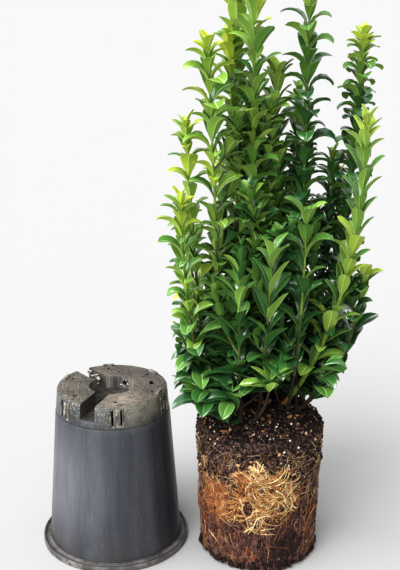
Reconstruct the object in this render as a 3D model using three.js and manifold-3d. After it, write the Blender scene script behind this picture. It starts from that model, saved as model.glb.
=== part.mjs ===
// An upright evergreen spindle shrub, lifted out of its pot and standing on its root ball, with the empty
// nursery pot upside down beside it. Millimetres, +Z up, +Y away from the viewer.
// The origin is the centre of the root ball's flat underside.
import * as THREE from "three";
import { mergeVertices } from "three/addons/utils/BufferGeometryUtils.js";
import Module from "manifold-3d";

const wasm = await Module();
wasm.setup();

// Driving dimensions
const CLEARANCE = 0.3; // between neighbouring solids that meet on the real plant
const SLIVER = 0.012; // shortest edge that a joined leaf may leave
const BALL = { height: 122, topRadius: 54.5, footRadius: 49.5, edge: 5, sides: 32, rings: 6 };
// Swellings of the root ball: how many go round it, their height, and how far up they turn by a radian.
const SWELLINGS = [
  { round: 3, height: 0.6, climb: 17 },
  { round: 5, height: 0.6, climb: -11 },
  { round: 9, height: 0.4, climb: 6 },
];
const POT = {
  centre: [-128, 13], // beside the root ball
  height: 146,
  rimRadius: 65,
  mouthRadius: 58.8,
  baseRadius: 48.3,
  wall: 1.8,
  rimHeight: 6,
  stepHeight: 20,
  stepDepth: 0.9,
  bevel: 1.5,
  sides: 36,
};
const FOOT = { recessRadius: 20, recessDepth: 11 };
const CHANNEL = { width: 13, depth: 13.5, bearings: [129, 249], past: 3 }; // they run past the middle
const DRAIN = { radius: 1.7, ring: 38, sides: 6 };
const VENT = { width: 9, depth: 4, ring: 34, bearing: 9 };
const SLOT = { width: 1.6, height: 13.5, through: 9, gap: 7.4, below: 3, count: 6, firstBearing: 39 };
const STEM = { bareLength: 22, footRadius: 2.5, neckRadius: 1.9, sides: 5, rings: 2 };
const TWIG = { footRadius: 1.6, tipRadius: 0.6, sides: 3, ringSpacing: 32, leastRings: 5 };
const LEAF = {
  thickness: 0.8,
  widthShare: 0.7, // of the leaf's length
  widestAt: 0.6, // of the leaf's length
  fold: 0.42, // rise of each margin over the midrib, as a share of the half width
  budShare: 0.4, // length of the youngest leaf as a share of a grown one
  grownFrom: 62, // distance below the shoot's tip where leaves are full size
  internode: 23,
  budInternode: 9,
  rootAngle: [8, 16], // from the stem, for the youngest and the grown leaves, in degrees
  tipAngle: [30, 128],
  jitter: 14,
  tries: [[1, 0], [0.97, 4], [0.97, -4], [0.85, 18], [0.85, -18], [0.7, 0]], // share of its size, swing
};

// Rooted cuttings: where each one's stems leave the compost.
const CUTTINGS = { left: [-36, 14], middle: [-6, 18], right: [18, 10], back: [4, 36], front: [-16, -8] };

// Shoots: the cutting each grows from, the bearing, reach and height of its tip about the origin, how far
// out its knee stands as a share of the way from foot to tip, and the length of its grown leaves.
const SHOOTS = [
  { name: "left_low", cutting: "left", bearing: 204, reach: 73, height: 319, bow: 0.9, leaf: 23 },
  { name: "left_mid", cutting: "left", bearing: 185, reach: 63, height: 373, bow: 0.5, leaf: 24 },
  { name: "left_tall", cutting: "left", bearing: 213, reach: 55, height: 436, bow: 0.1, leaf: 26 },
  { name: "left_inner", cutting: "middle", bearing: 161, reach: 31, height: 441, bow: 0.15, leaf: 24 },
  { name: "tall_left", cutting: "middle", bearing: 140, reach: 31, height: 478, bow: 0.1, leaf: 27 },
  { name: "tall_centre", cutting: "middle", bearing: 222, reach: 15, height: 486, bow: 0.5, leaf: 31 },
  { name: "centre_right", cutting: "right", bearing: 56, reach: 18, height: 419, bow: 0.1, leaf: 28 },
  { name: "tall_right", cutting: "right", bearing: 9, reach: 33, height: 484, bow: 1.4, leaf: 27 },
  { name: "right_back", cutting: "right", bearing: 11, reach: 78, height: 441, bow: 0.95, leaf: 22 },
  { name: "right_front", cutting: "right", bearing: 335, reach: 82, height: 379, bow: 1.05, leaf: 25 },
  { name: "right_mid", cutting: "right", bearing: 27, reach: 65, height: 341, bow: 1.1, leaf: 26 },
  { name: "right_low", cutting: "right", bearing: 352, reach: 82, height: 258, bow: 1.0, leaf: 28 },
  { name: "front_right", cutting: "right", bearing: 306, reach: 52, height: 317, bow: 1.0, leaf: 28 },
  { name: "front_centre", cutting: "front", bearing: 274, reach: 50, height: 288, bow: 0.8, leaf: 30 },
  { name: "front_left", cutting: "front", bearing: 246, reach: 52, height: 256, bow: 0.8, leaf: 27 },
  { name: "back_far_left", cutting: "left", bearing: 154, reach: 69, height: 300, bow: 0.9, leaf: 26 },
  { name: "back_left", cutting: "back", bearing: 120, reach: 66, height: 330, bow: 0.9, leaf: 27 },
  { name: "back_centre", cutting: "back", bearing: 101, reach: 44, height: 398, bow: 0.6, leaf: 27 },
  { name: "back_middle", cutting: "back", bearing: 83, reach: 66, height: 345, bow: 0.9, leaf: 27 },
  { name: "back_right", cutting: "back", bearing: 58, reach: 58, height: 392, bow: 0.9, leaf: 27 },
  { name: "back_far_right", cutting: "right", bearing: 33, reach: 80, height: 325, bow: 1.0, leaf: 26 },
  { name: "low_left", cutting: "front", bearing: 218, reach: 60, height: 166, bow: 0.9, leaf: 27 },
  { name: "low_far_left", cutting: "left", bearing: 176, reach: 64, height: 196, bow: 0.9, leaf: 26 },
  { name: "low_front_left", cutting: "front", bearing: 243, reach: 58, height: 168, bow: 0.9, leaf: 28 },
  { name: "low_front", cutting: "front", bearing: 274, reach: 58, height: 180, bow: 0.9, leaf: 29 },
  { name: "low_right", cutting: "right", bearing: 318, reach: 64, height: 192, bow: 0.9, leaf: 27 },
  { name: "low_far_right", cutting: "right", bearing: 6, reach: 64, height: 205, bow: 0.9, leaf: 27 },
  { name: "low_back", cutting: "back", bearing: 95, reach: 66, height: 200, bow: 0.8, leaf: 28 },
];
const KNEE = 0.38; // height of a shoot's knee as a share of its rise
const FOOT_SPREAD = 8; // how far a shoot's foot stands from the middle of its cutting, before easing
const FOOT_SPACING = 9; // least distance between two feet

const paint = {
  leaf: new THREE.MeshStandardMaterial({ color: 0x4f8a2c, roughness: 0.42, metalness: 0 }),
  bark: new THREE.MeshStandardMaterial({ color: 0x8a8a3c, roughness: 0.7, metalness: 0 }),
  compost: new THREE.MeshStandardMaterial({ color: 0x2e1d15, roughness: 0.95, metalness: 0 }),
  plastic: new THREE.MeshStandardMaterial({ color: 0x4a4d53, roughness: 0.45, metalness: 0 }),
};

const radians = THREE.MathUtils.degToRad;
const lerp = THREE.MathUtils.lerp;

// A repeatable number from 0 to 1 for whole numbers a, b and c.
function chance(a, b, c) {
  const s = Math.sin(a * 12.9898 + b * 78.233 + c * 37.719) * 43758.5453;
  return s - Math.floor(s);
}

function polar(radius, bearing) {
  return [radius * Math.cos(radians(bearing)), radius * Math.sin(radians(bearing))];
}

// Solids
function solidOf(geometry) {
  const bare = geometry.clone();
  bare.deleteAttribute("normal");
  bare.deleteAttribute("uv");
  const merged = mergeVertices(bare, 1e-4);
  return new wasm.Manifold(
    new wasm.Mesh({
      numProp: 3,
      vertProperties: merged.attributes.position.array,
      triVerts: new Uint32Array(merged.index.array),
    }),
  );
}

function geometryOf(solid) {
  const mesh = solid.getMesh();
  const geometry = new THREE.BufferGeometry();
  geometry.setAttribute("position", new THREE.BufferAttribute(mesh.vertProperties, 3));
  geometry.setIndex(new THREE.BufferAttribute(mesh.triVerts, 1));
  geometry.computeVertexNormals();
  return geometry;
}

function shortestEdge(solid) {
  const { vertProperties, triVerts } = solid.getMesh();
  const corner = (i) => new THREE.Vector3().fromArray(vertProperties, 3 * triVerts[i]);
  let shortest = Infinity;
  for (let i = 0; i < triVerts.length; i += 3) {
    const [a, b, c] = [corner(i), corner(i + 1), corner(i + 2)];
    shortest = Math.min(shortest, a.distanceTo(b), b.distanceTo(c), c.distanceTo(a));
  }
  return shortest;
}

function piece(name, solid, material) {
  const mesh = new THREE.Mesh(geometryOf(solid), material.clone());
  mesh.name = name;
  return mesh;
}

// A solid of revolution about +Z from [radius, height] points that start and end on the axis.
function turned(points, sides) {
  const profile = points.map(([r, z]) => new THREE.Vector2(r, z));
  return new THREE.LatheGeometry(profile, sides).rotateX(Math.PI / 2);
}

function block(width, depth, height, place, bearing = 0) {
  const box = new THREE.BoxGeometry(width, depth, height).translate(...place);
  return solidOf(box.rotateZ(radians(bearing)));
}

// Root ball: the compost and roots, in the shape of the inside of the pot, on a flat foot.
function rootBall() {
  const { height, topRadius, footRadius, edge, sides, rings } = BALL;
  const side = Array.from({ length: rings }, (_, i) => {
    const t = i / (rings - 1);
    return [lerp(footRadius, topRadius, t), lerp(edge, height - edge, t)];
  });
  const profile = [[0, 0], [footRadius - edge, 0], ...side, [topRadius - edge, height], [0, height]];
  const geometry = turned(profile, sides);
  const place = geometry.attributes.position;
  for (let i = 0; i < place.count; i++) {
    const [x, y, z] = [place.getX(i), place.getY(i), place.getZ(i)];
    if (z < 1e-6 || z > height - 1e-6) continue;
    const turn = Math.atan2(y, x);
    const swell = SWELLINGS.reduce((sum, w) => sum + w.height * Math.sin(w.round * turn + z / w.climb), 0);
    const grow = 1 + swell / Math.hypot(x, y);
    place.setXY(i, x * grow, y * grow);
  }
  return solidOf(geometry);
}

// Pot, upside down: its outside or, set in by the wall and open below, its inside.
function potBody(inset) {
  const { height, rimRadius, mouthRadius, baseRadius, rimHeight, stepHeight, stepDepth, bevel, sides } = POT;
  const top = height - inset;
  const stepZ = height - stepHeight;
  const atStep = lerp(baseRadius, mouthRadius, stepHeight / height) - inset;
  const atTop = baseRadius - stepDepth - inset;
  const rim = [[0, 0], [rimRadius, 0], [rimRadius, rimHeight], [mouthRadius, rimHeight]];
  const mouth = [[0, -1], [mouthRadius - inset, -1]];
  const profile = [
    ...(inset ? mouth : rim),
    [atStep, stepZ - stepDepth],
    [atStep - stepDepth, stepZ],
    [atTop, top - bevel],
    [atTop - bevel, top],
    [0, top],
  ];
  return solidOf(turned(profile, sides));
}

// What the pot's underside is hollowed by: a round recess and the drainage channels that cross the foot.
function footHollow(grow) {
  const { recessRadius, recessDepth } = FOOT;
  const over = 2;
  const hollowTop = POT.height + over;
  const discHeight = recessDepth + grow + over;
  const disc = new THREE.CylinderGeometry(recessRadius + grow, recessRadius + grow, discHeight, 24);
  let hollow = solidOf(disc.rotateX(Math.PI / 2).translate(0, 0, hollowTop - discHeight / 2));
  const reach = POT.baseRadius + 6;
  const height = CHANNEL.depth + grow + over;
  for (const bearing of CHANNEL.bearings) {
    const place = [(reach - CHANNEL.past) / 2, 0, hollowTop - height / 2];
    const length = reach + CHANNEL.past;
    hollow = hollow.add(block(length, CHANNEL.width + 2 * grow, height, place, bearing));
  }
  return hollow;
}

// Where the slots and the holes beside them stand round the foot.
function slotBearings() {
  return Array.from({ length: SLOT.count }, (_, i) => SLOT.firstBearing + (360 / SLOT.count) * i);
}

// Small round holes round the foot and one wide vent.
function drainHoles() {
  const through = 8;
  const vent = block(VENT.depth, VENT.width, through, [VENT.ring, 0, POT.height], VENT.bearing);
  return slotBearings().reduce((all, bearing) => {
    const hole = new THREE.CylinderGeometry(DRAIN.radius, DRAIN.radius, through, DRAIN.sides);
    hole.rotateX(Math.PI / 2).translate(...polar(DRAIN.ring, bearing), POT.height);
    return all.add(solidOf(hole));
  }, vent);
}

// Pairs of upright slots in the wall beside the foot.
function wallSlots() {
  const z = POT.height - SLOT.below - SLOT.height / 2;
  const slots = slotBearings().flatMap((bearing) =>
    [-1, 1].map((side) => {
      const place = [POT.baseRadius, (side * SLOT.gap) / 2, z];
      return block(SLOT.through, SLOT.width, SLOT.height, place, bearing);
    }),
  );
  return slots.reduce((all, slot) => all.add(slot));
}

function pot() {
  const shell = potBody(0).subtract(footHollow(0));
  const inside = potBody(POT.wall).subtract(footHollow(POT.wall));
  return shell.subtract(inside).subtract(drainHoles()).subtract(wallSlots());
}

// Where the shoots leave the compost: each on its own cutting's side towards its tip, eased apart.
function footPlaces(tips) {
  const feet = SHOOTS.map((shoot, i) => {
    const middle = new THREE.Vector2(...CUTTINGS[shoot.cutting]);
    const away = tips[i].clone().sub(middle).setLength(FOOT_SPREAD);
    return middle.add(away);
  });
  for (let round = 0; round < 80; round++) {
    feet.forEach((a, i) =>
      feet.slice(i + 1).forEach((b) => {
        const short = FOOT_SPACING - a.distanceTo(b);
        if (short <= 0) return;
        const push = a.clone().sub(b).setLength(short / 2);
        a.add(push);
        b.sub(push);
      }),
    );
    feet.forEach((foot) => foot.clampLength(0, BALL.topRadius - 2 * BALL.edge));
  }
  return feet;
}

// A shoot's path from the compost over its knee to its tip.
function shootPaths() {
  const tips = SHOOTS.map((shoot) => new THREE.Vector2(...polar(shoot.reach, shoot.bearing)));
  const feet = footPlaces(tips);
  return SHOOTS.map((shoot, i) => {
    const foot = new THREE.Vector3(feet[i].x, feet[i].y, BALL.height + CLEARANCE);
    const tip = new THREE.Vector3(tips[i].x, tips[i].y, shoot.height);
    const knee = foot.clone().lerp(tip, shoot.bow).setZ(lerp(foot.z, tip.z, KNEE));
    return new THREE.QuadraticBezierCurve3(foot, knee, tip);
  });
}

// Three directions at share t of a path: along it, across it near +X, and across both.
function frameAt(path, t) {
  const along = path.getTangentAt(t);
  const across = new THREE.Vector3(1, 0, 0).addScaledVector(along, -along.x).normalize();
  return { at: path.getPointAt(t), along, across, beside: along.clone().cross(across) };
}

// A tapering limb along a path from share t0 to t1, with flat ends. A level foot lies flat on the compost.
function limb(path, t0, t1, radius0, radius1, sides, rings, levelFoot = false) {
  const geometry = new THREE.CylinderGeometry(radius1, radius0, 1, sides, rings);
  const place = geometry.attributes.position;
  for (let i = 0; i < place.count; i++) {
    const share = place.getY(i) + 0.5;
    const { at, across, beside } = frameAt(path, lerp(t0, t1, share));
    if (levelFoot && share === 0) {
      across.set(1, 0, 0);
      beside.set(0, 1, 0);
    }
    at.addScaledVector(across, place.getX(i)).addScaledVector(beside, -place.getZ(i));
    place.setXYZ(i, at.x, at.y, at.z);
  }
  return solidOf(geometry);
}

// The line of a leaf's midrib, which leaves the stem at the root angle and arches over to the tip angle.
function midrib(frame, out, length, rootAngle, tipAngle) {
  const steps = 10;
  const line = [{ at: frame.at, up: null }];
  for (let i = 0; i < steps; i++) {
    const angle = radians(lerp(rootAngle, tipAngle, (i + 0.5) / steps));
    const step = frame.along.clone().multiplyScalar(Math.cos(angle)).addScaledVector(out, Math.sin(angle));
    const up = frame.along.clone().multiplyScalar(Math.sin(angle)).addScaledVector(out, -Math.cos(angle));
    line.push({ at: line[i].at.clone().addScaledVector(step, length / steps), up });
  }
  return line;
}

// A folded, arching blade: an octahedron with its corners moved to the leaf's root, which is sunk in the
// stem, its tip, its two margins and the two faces of its midrib.
function leaf(frame, turn, length, rootAngle, tipAngle) {
  const out = frame.across.clone().multiplyScalar(Math.cos(turn));
  out.addScaledVector(frame.beside, Math.sin(turn));
  const side = frame.along.clone().cross(out);
  const line = midrib(frame, out, length, rootAngle, tipAngle);
  const widest = line[Math.round(LEAF.widestAt * (line.length - 1))];
  const half = (length * LEAF.widthShare) / 2;
  const geometry = new THREE.OctahedronGeometry(1);
  const place = geometry.attributes.position;
  for (let i = 0; i < place.count; i++) {
    const corner = new THREE.Vector3().fromBufferAttribute(place, i).round();
    const spot = widest.at.clone();
    if (corner.x) spot.copy(corner.x > 0 ? line.at(-1).at : line[0].at);
    spot.addScaledVector(side, corner.y * half);
    spot.addScaledVector(widest.up, Math.abs(corner.y) * half * LEAF.fold + (corner.z * LEAF.thickness) / 2);
    place.setXYZ(i, spot.x, spot.y, spot.z);
  }
  return solidOf(geometry);
}

// Where leaf pairs sit on a shoot, as distances below its tip, closer together towards it.
function nodesBelowTip(leafyLength) {
  const found = [];
  let below = LEAF.budInternode * 0.5;
  while (below < leafyLength - 4) {
    found.push(below);
    below += lerp(LEAF.budInternode, LEAF.internode, Math.min(1, below / LEAF.grownFrom));
  }
  return found;
}

function boxesMeet(a, b) {
  return [0, 1, 2].every((k) => a.min[k] < b.max[k] + CLEARANCE && b.min[k] < a.max[k] + CLEARANCE);
}

function standsClear(solid, others) {
  const box = solid.boundingBox();
  return others.every((o) => !boxesMeet(box, o.box) || solid.minGap(o.solid, 2 * CLEARANCE) > CLEARANCE);
}

// The bare foot of a shoot, cut level at the compost.
function stem(path, length) {
  const share = STEM.bareLength / length;
  return limb(path, 0, share, STEM.footRadius, STEM.neckRadius, STEM.sides, STEM.rings, true);
}

// The slim twig that goes on from the stem to the shoot's tip.
function twig(path, length) {
  const share = (STEM.bareLength + CLEARANCE) / length;
  const rings = Math.max(TWIG.leastRings, Math.round(length / TWIG.ringSpacing));
  return limb(path, share, 1, TWIG.footRadius, TWIG.tipRadius, TWIG.sides, rings);
}

// The leafy part of a shoot: its twig with opposite leaves, each pair turned a right angle from the last.
// A leaf that meets another shoot or leaves a sliver is made smaller or turned, or else left out.
function foliage(bareTwig, path, length, shoot, number, others) {
  let mass = bareTwig;
  const twist = 40 * (chance(number, 3, 1) - 0.5);
  nodesBelowTip(length - STEM.bareLength).forEach((below, i) => {
    const age = Math.min(1, below / LEAF.grownFrom);
    const frame = frameAt(path, 1 - below / length);
    for (const side of [0, 1]) {
      const wobble = (k) => LEAF.jitter * (2 * chance(number, 10 + i, 4 + 5 * side + k) - 1);
      const turn = twist + 90 * i + 180 * side + wobble(0);
      const size = shoot.leaf * lerp(LEAF.budShare, 1, age) * (1 + wobble(1) / 120);
      const angles = [lerp(...LEAF.rootAngle, age) + wobble(2) / 3, lerp(...LEAF.tipAngle, age) + wobble(3)];
      for (const [share, swing] of LEAF.tries) {
        const blade = leaf(frame, radians(turn + swing), size * share, ...angles);
        if (!standsClear(blade, others)) continue;
        const joined = mass.add(blade);
        if (shortestEdge(joined) < SLIVER) continue;
        mass = joined;
        break;
      }
    }
  });
  return mass;
}

function plant() {
  const group = new THREE.Group();
  const ball = rootBall();
  group.add(piece("root_ball", ball, paint.compost));
  const paths = shootPaths();
  const lengths = paths.map((path) => path.getLength());
  const stems = paths.map((path, i) => stem(path, lengths[i]));
  stems.forEach((solid, i) => group.add(piece(`stem_${SHOOTS[i].name}`, solid, paint.bark)));
  const boxed = (solid) => ({ solid, box: solid.boundingBox() });
  const bare = [ball, ...stems].map(boxed);
  const shoots = paths.map((path, i) => boxed(twig(path, lengths[i])));
  SHOOTS.forEach((shoot, i) => {
    const others = [...bare, ...shoots.filter((_, k) => k !== i)];
    const mass = foliage(shoots[i].solid, paths[i], lengths[i], shoot, i, others);
    shoots[i] = boxed(mass);
    group.add(piece(`foliage_${shoot.name}`, mass, paint.leaf));
  });
  return group;
}

const shrub = plant();
const emptyPot = piece("pot", pot(), paint.plastic);
emptyPot.position.set(...POT.centre, 0);
shrub.add(emptyPot);

export default shrub;
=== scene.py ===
import math
import random

import bmesh
import bpy
import numpy as np
from mathutils import Matrix, Vector, noise


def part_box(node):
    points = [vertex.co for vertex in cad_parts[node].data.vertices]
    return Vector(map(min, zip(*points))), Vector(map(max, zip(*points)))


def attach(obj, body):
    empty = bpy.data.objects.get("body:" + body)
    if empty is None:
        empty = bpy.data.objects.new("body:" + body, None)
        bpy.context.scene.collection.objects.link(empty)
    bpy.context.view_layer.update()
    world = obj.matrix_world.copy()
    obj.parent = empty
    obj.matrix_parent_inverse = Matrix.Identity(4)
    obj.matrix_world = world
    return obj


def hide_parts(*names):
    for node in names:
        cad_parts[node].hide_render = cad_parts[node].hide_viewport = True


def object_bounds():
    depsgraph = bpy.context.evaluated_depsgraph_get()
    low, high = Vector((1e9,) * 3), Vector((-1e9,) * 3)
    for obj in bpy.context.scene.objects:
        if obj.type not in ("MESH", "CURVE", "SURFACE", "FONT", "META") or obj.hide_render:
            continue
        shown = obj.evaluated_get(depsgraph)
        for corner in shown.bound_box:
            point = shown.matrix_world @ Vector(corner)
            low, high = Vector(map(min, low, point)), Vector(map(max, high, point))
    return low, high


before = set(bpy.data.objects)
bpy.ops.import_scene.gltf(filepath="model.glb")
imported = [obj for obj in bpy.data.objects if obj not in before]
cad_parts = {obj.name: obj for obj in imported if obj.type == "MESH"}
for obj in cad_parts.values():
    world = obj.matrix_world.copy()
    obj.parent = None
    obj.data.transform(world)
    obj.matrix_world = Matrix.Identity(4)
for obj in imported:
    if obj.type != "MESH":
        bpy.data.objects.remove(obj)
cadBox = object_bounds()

mm = 0.001  # the tables below are in millimetres, Blender works in metres
fullTurn = 2 * math.pi


def lerp(a, b, t):
    return a + (b - a) * t


def clamp(value, low=0.0, high=1.0):
    return max(low, min(high, value))


def ramp(value, none, full):
    # from 0 at none to 1 at full
    return clamp((value - none) / (full - none))


def paintColour(red, green, blue):
    # screen values 0 to 255 to the linear colour that a shader takes
    parts = [c / 255 for c in (red, green, blue)]
    linear = [c / 12.92 if c <= 0.04045 else ((c + 0.055) / 1.055) ** 2.4 for c in parts]
    return (*linear, 1.0)


def chance(a, b, c):
    # a repeatable number from 0 to 1 for whole numbers a, b and c
    s = math.sin(a * 12.9898 + b * 78.233 + c * 37.719) * 43758.5453
    return s - math.floor(s)


# meshes are gathered in bags, so that many small things become one joined piece
def newBag():
    return {"verts": [], "faces": [], "slots": [], "count": 0}


def putIn(bag, verts, faces, slots=None):
    start = bag["count"]
    bag["verts"].append(np.asarray(verts, dtype=float))
    bag["faces"].extend([[start + i for i in face] for face in faces])
    bag["slots"].extend(slots or [0] * len(faces))
    bag["count"] += len(verts)


def handOver(piece, replaced=()):
    # all pieces ride on the one body
    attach(piece, "root")
    if replaced:
        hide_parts(*replaced)
    print(piece.name, len(piece.data.polygons), "faces")


def makePiece(name, bag, materials, replaced=(), sharpDegrees=50):
    mesh = bpy.data.meshes.new(name)
    mesh.from_pydata((np.concatenate(bag["verts"]) * mm).tolist(), [], bag["faces"])
    for material in materials:
        mesh.materials.append(material)
    mesh.polygons.foreach_set("material_index", bag["slots"])
    mesh.shade_smooth()
    if sharpDegrees:
        mesh.set_sharp_from_angle(angle=math.radians(sharpDegrees))
    mesh.update()
    piece = bpy.data.objects.new(name, mesh)
    bpy.context.scene.collection.objects.link(piece)
    handOver(piece, replaced)


def turnsRound(count):
    return np.arange(count) * 2 * math.pi / count


def ringFaces(rings, sides):
    # faces of a stack of rings, closed at both ends
    faces = []
    for i in range(rings - 1):
        for k in range(sides):
            a, b = i * sides + k, i * sides + (k + 1) % sides
            faces.append((a, b, b + sides, a + sides))
    faces.append(tuple(range(sides - 1, -1, -1)))
    faces.append(tuple(range((rings - 1) * sides, rings * sides)))
    return faces


def tubeParts(points, radii, sides):
    # tube round a line of points, with closed ends
    points = np.asarray(points, dtype=float)
    along = np.gradient(points, axis=0)
    along /= np.linalg.norm(along, axis=1)[:, None]
    side = np.cross(along[0], (0.31, 0.95, 0.08))
    turns = turnsRound(sides)
    rings = []
    for point, way, radius in zip(points, along, radii):
        side = side - way * side.dot(way)
        side /= np.linalg.norm(side)
        ring = np.outer(np.cos(turns), side) + np.outer(np.sin(turns), np.cross(way, side))
        rings.append(point + ring * radius)
    return np.concatenate(rings), ringFaces(len(points), sides)


# shader nodes, and the two groups that the finishes share
def addNode(tree, kind, given, **settings):
    # inputs are set to the values given, or linked where a socket is given
    node = tree.nodes.new(f"ShaderNode{kind}")
    for label, value in settings.items():
        setattr(node, label, value)
    for socket, value in given.items():
        if isinstance(value, bpy.types.NodeSocket):
            tree.links.new(value, node.inputs[socket])
        else:
            node.inputs[socket].default_value = value
    return node


def newGroup(name, inputs, output):
    group = bpy.data.node_groups.new(name, "ShaderNodeTree")
    for label, value in inputs.items():
        socket = group.interface.new_socket(label, in_out="INPUT", socket_type="NodeSocketFloat")
        socket.default_value = value
    group.interface.new_socket(output, in_out="OUTPUT", socket_type="NodeSocketFloat")
    given, result = group.nodes.new("NodeGroupInput"), group.nodes.new("NodeGroupOutput")
    return group, given.outputs, result.inputs[output]


def makeMottleGroup():
    # soft patches: Stretch above 1 squeezes them along Z, below 1 draws them out into streaks
    inputs = {"Scale": 100.0, "Stretch": 1.0, "Low": 0.4, "High": 0.6}
    group, given, result = newGroup("patches", inputs, "Mask")
    where = addNode(group, "TexCoord", {}).outputs["Object"]
    stretch = addNode(group, "CombineXYZ", {"X": 1.0, "Y": 1.0, "Z": given["Stretch"]}).outputs["Vector"]
    place = addNode(group, "VectorMath", {0: where, 1: stretch}, operation="MULTIPLY").outputs["Vector"]
    field = {"Vector": place, "Scale": given["Scale"], "Detail": 5.0, "Roughness": 0.6}
    cloud = addNode(group, "TexNoise", field).outputs["Fac"]
    ends = {"Value": cloud, "From Min": given["Low"], "From Max": given["High"]}
    group.links.new(addNode(group, "MapRange", ends).outputs["Result"], result)
    return group


def makeGrainGroup():
    # fine relief for a Bump node
    group, given, result = newGroup("grain", {"Scale": 800.0, "Pitting": 0.5}, "Height")
    where = addNode(group, "TexCoord", {}).outputs["Object"]
    field = {"Vector": where, "Scale": given["Scale"]}
    fine = addNode(group, "TexNoise", {**field, "Detail": 4.0}).outputs["Fac"]
    pits = addNode(group, "TexVoronoi", field).outputs["Distance"]
    both = addNode(group, "Math", {0: pits, 1: given["Pitting"], 2: fine}, operation="MULTIPLY_ADD")
    group.links.new(both.outputs["Value"], result)
    return group


patches = makeMottleGroup()
grain = makeGrainGroup()


class Finish:
    # one material, with short ways to add what several finishes need; colours are screen values
    def __init__(self, name, roughness=0.5, shine=0.5):
        self.material = bpy.data.materials.new(name)
        self.material.use_nodes = True
        self.tree = self.material.node_tree
        self.shader = self.tree.nodes["Principled BSDF"]
        self.set("Roughness", roughness)
        self.set("Specular IOR Level", shine)

    def set(self, socket, value):
        self.shader.inputs[socket].default_value = value

    def feed(self, socket, output):
        self.tree.links.new(output, self.shader.inputs[socket])

    def add(self, kind, given, output, **settings):
        return addNode(self.tree, kind, given, **settings).outputs[output]

    def mask(self, scale, low, high, stretch=1.0):
        values = {"Scale": scale, "Stretch": stretch, "Low": low, "High": high}
        return self.add("Group", values, "Mask", node_tree=patches)

    def between(self, low, high, mask):
        return self.add("MapRange", {"To Min": low, "To Max": high, "Value": mask}, "Result")

    def product(self, first, second):
        return self.add("Math", {0: first, 1: second}, "Value", operation="MULTIPLY")

    def span(self, value, none, full):
        # mask that is 0 at none and 1 at full, in millimetres
        ends = {"From Min": none * mm, "From Max": full * mm, "Value": value}
        return self.add("MapRange", ends, "Result")

    def nearTo(self, place, inner, outer):
        # mask that fades outwards from a place
        where = self.add("TexCoord", {}, "Object")
        away = self.add("VectorMath", {0: where, 1: np.array(place) * mm}, "Value", operation="DISTANCE")
        return self.span(away, outer, inner)

    def atHeight(self, none, full):
        # mask that grows from one height to another
        where = self.add("TexCoord", {}, "Object")
        return self.span(self.add("SeparateXYZ", {"Vector": where}, "Z"), none, full)

    def layered(self, first, *layers):
        # base colour: one colour with others over it, each by a mask or patches, and by how far it covers
        below = paintColour(*first)
        for colour, mask, *cover in layers:
            if isinstance(mask, tuple):
                mask = self.mask(*mask)
            if cover:
                mask = self.between(0, *cover, mask)
            below = self.add("Mix", {6: below, 7: paintColour(*colour), 0: mask}, 2, data_type="RGBA")
        self.feed("Base Color", below)

    def relief(self, scale, pitting, depth, strength=0.6):
        height = self.add("Group", {"Scale": scale, "Pitting": pitting}, "Height", node_tree=grain)
        bump = {"Strength": strength, "Distance": depth * mm, "Height": height}
        self.feed("Normal", self.add("Bump", bump, "Normal"))


def coated(name, first, layers, relief, roughness, shine=0.5):
    finish = Finish(name, roughness, shine)
    finish.layered(first, *layers)
    finish.relief(*relief)
    return finish.material


def twoTone(name, first, second, patchy, relief, roughness, shine=0.5):
    # a plain finish: two colours in patches, and fine relief
    return coated(name, first, [(second, patchy)], relief, roughness, shine)


# leaf tints from the growing tip to the shaded inside, the darker ones standing for older leaves and for
# painted shade: blade, veins and margin, underside
leafTints = {
    "tip": [(184, 198, 62), (208, 214, 108), (182, 196, 76)],
    "fresh": [(156, 180, 60), (192, 206, 118), (160, 180, 72)],
    "young": [(118, 154, 62), (188, 210, 136), (142, 170, 72)],
    "grown": [(87, 129, 60), (162, 188, 126), (122, 155, 66)],
    "deep": [(53, 103, 46), (120, 152, 98), (92, 131, 53)],
    "shaded": [(34, 78, 38), (80, 114, 76), (60, 101, 43)],
}


def makeLeafFinishes():
    finishes = {}
    for tint, (blade, vein, under) in leafTints.items():
        waxy = tint in ("deep", "shaded")  # older leaves gleam more
        top = Finish(f"leaf_{tint}", shine=1.0 if waxy else 0.7)
        top.set("Coat Weight", 0.8 if waxy else 0.0)
        top.set("Coat Roughness", 0.3)
        top.set("Base Color", paintColour(*blade))
        top.feed("Roughness", top.between(0.15, 0.28, top.mask(420, 0.35, 0.65)))
        top.relief(1400, 0.6, 0.05, 0.35)
        rib = Finish(f"leaf_vein_{tint}", roughness=0.42)
        rib.set("Base Color", paintColour(*vein))
        rib.relief(1600, 0.4, 0.04, 0.3)
        back = Finish(f"leaf_under_{tint}", shine=0.3)
        back.set("Base Color", paintColour(*under))
        back.feed("Roughness", back.between(0.5, 0.68, back.mask(380, 0.35, 0.65)))
        back.relief(1300, 0.5, 0.06, 0.35)
        finishes[tint] = [top.material, rib.material, back.material]
    return finishes


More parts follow.
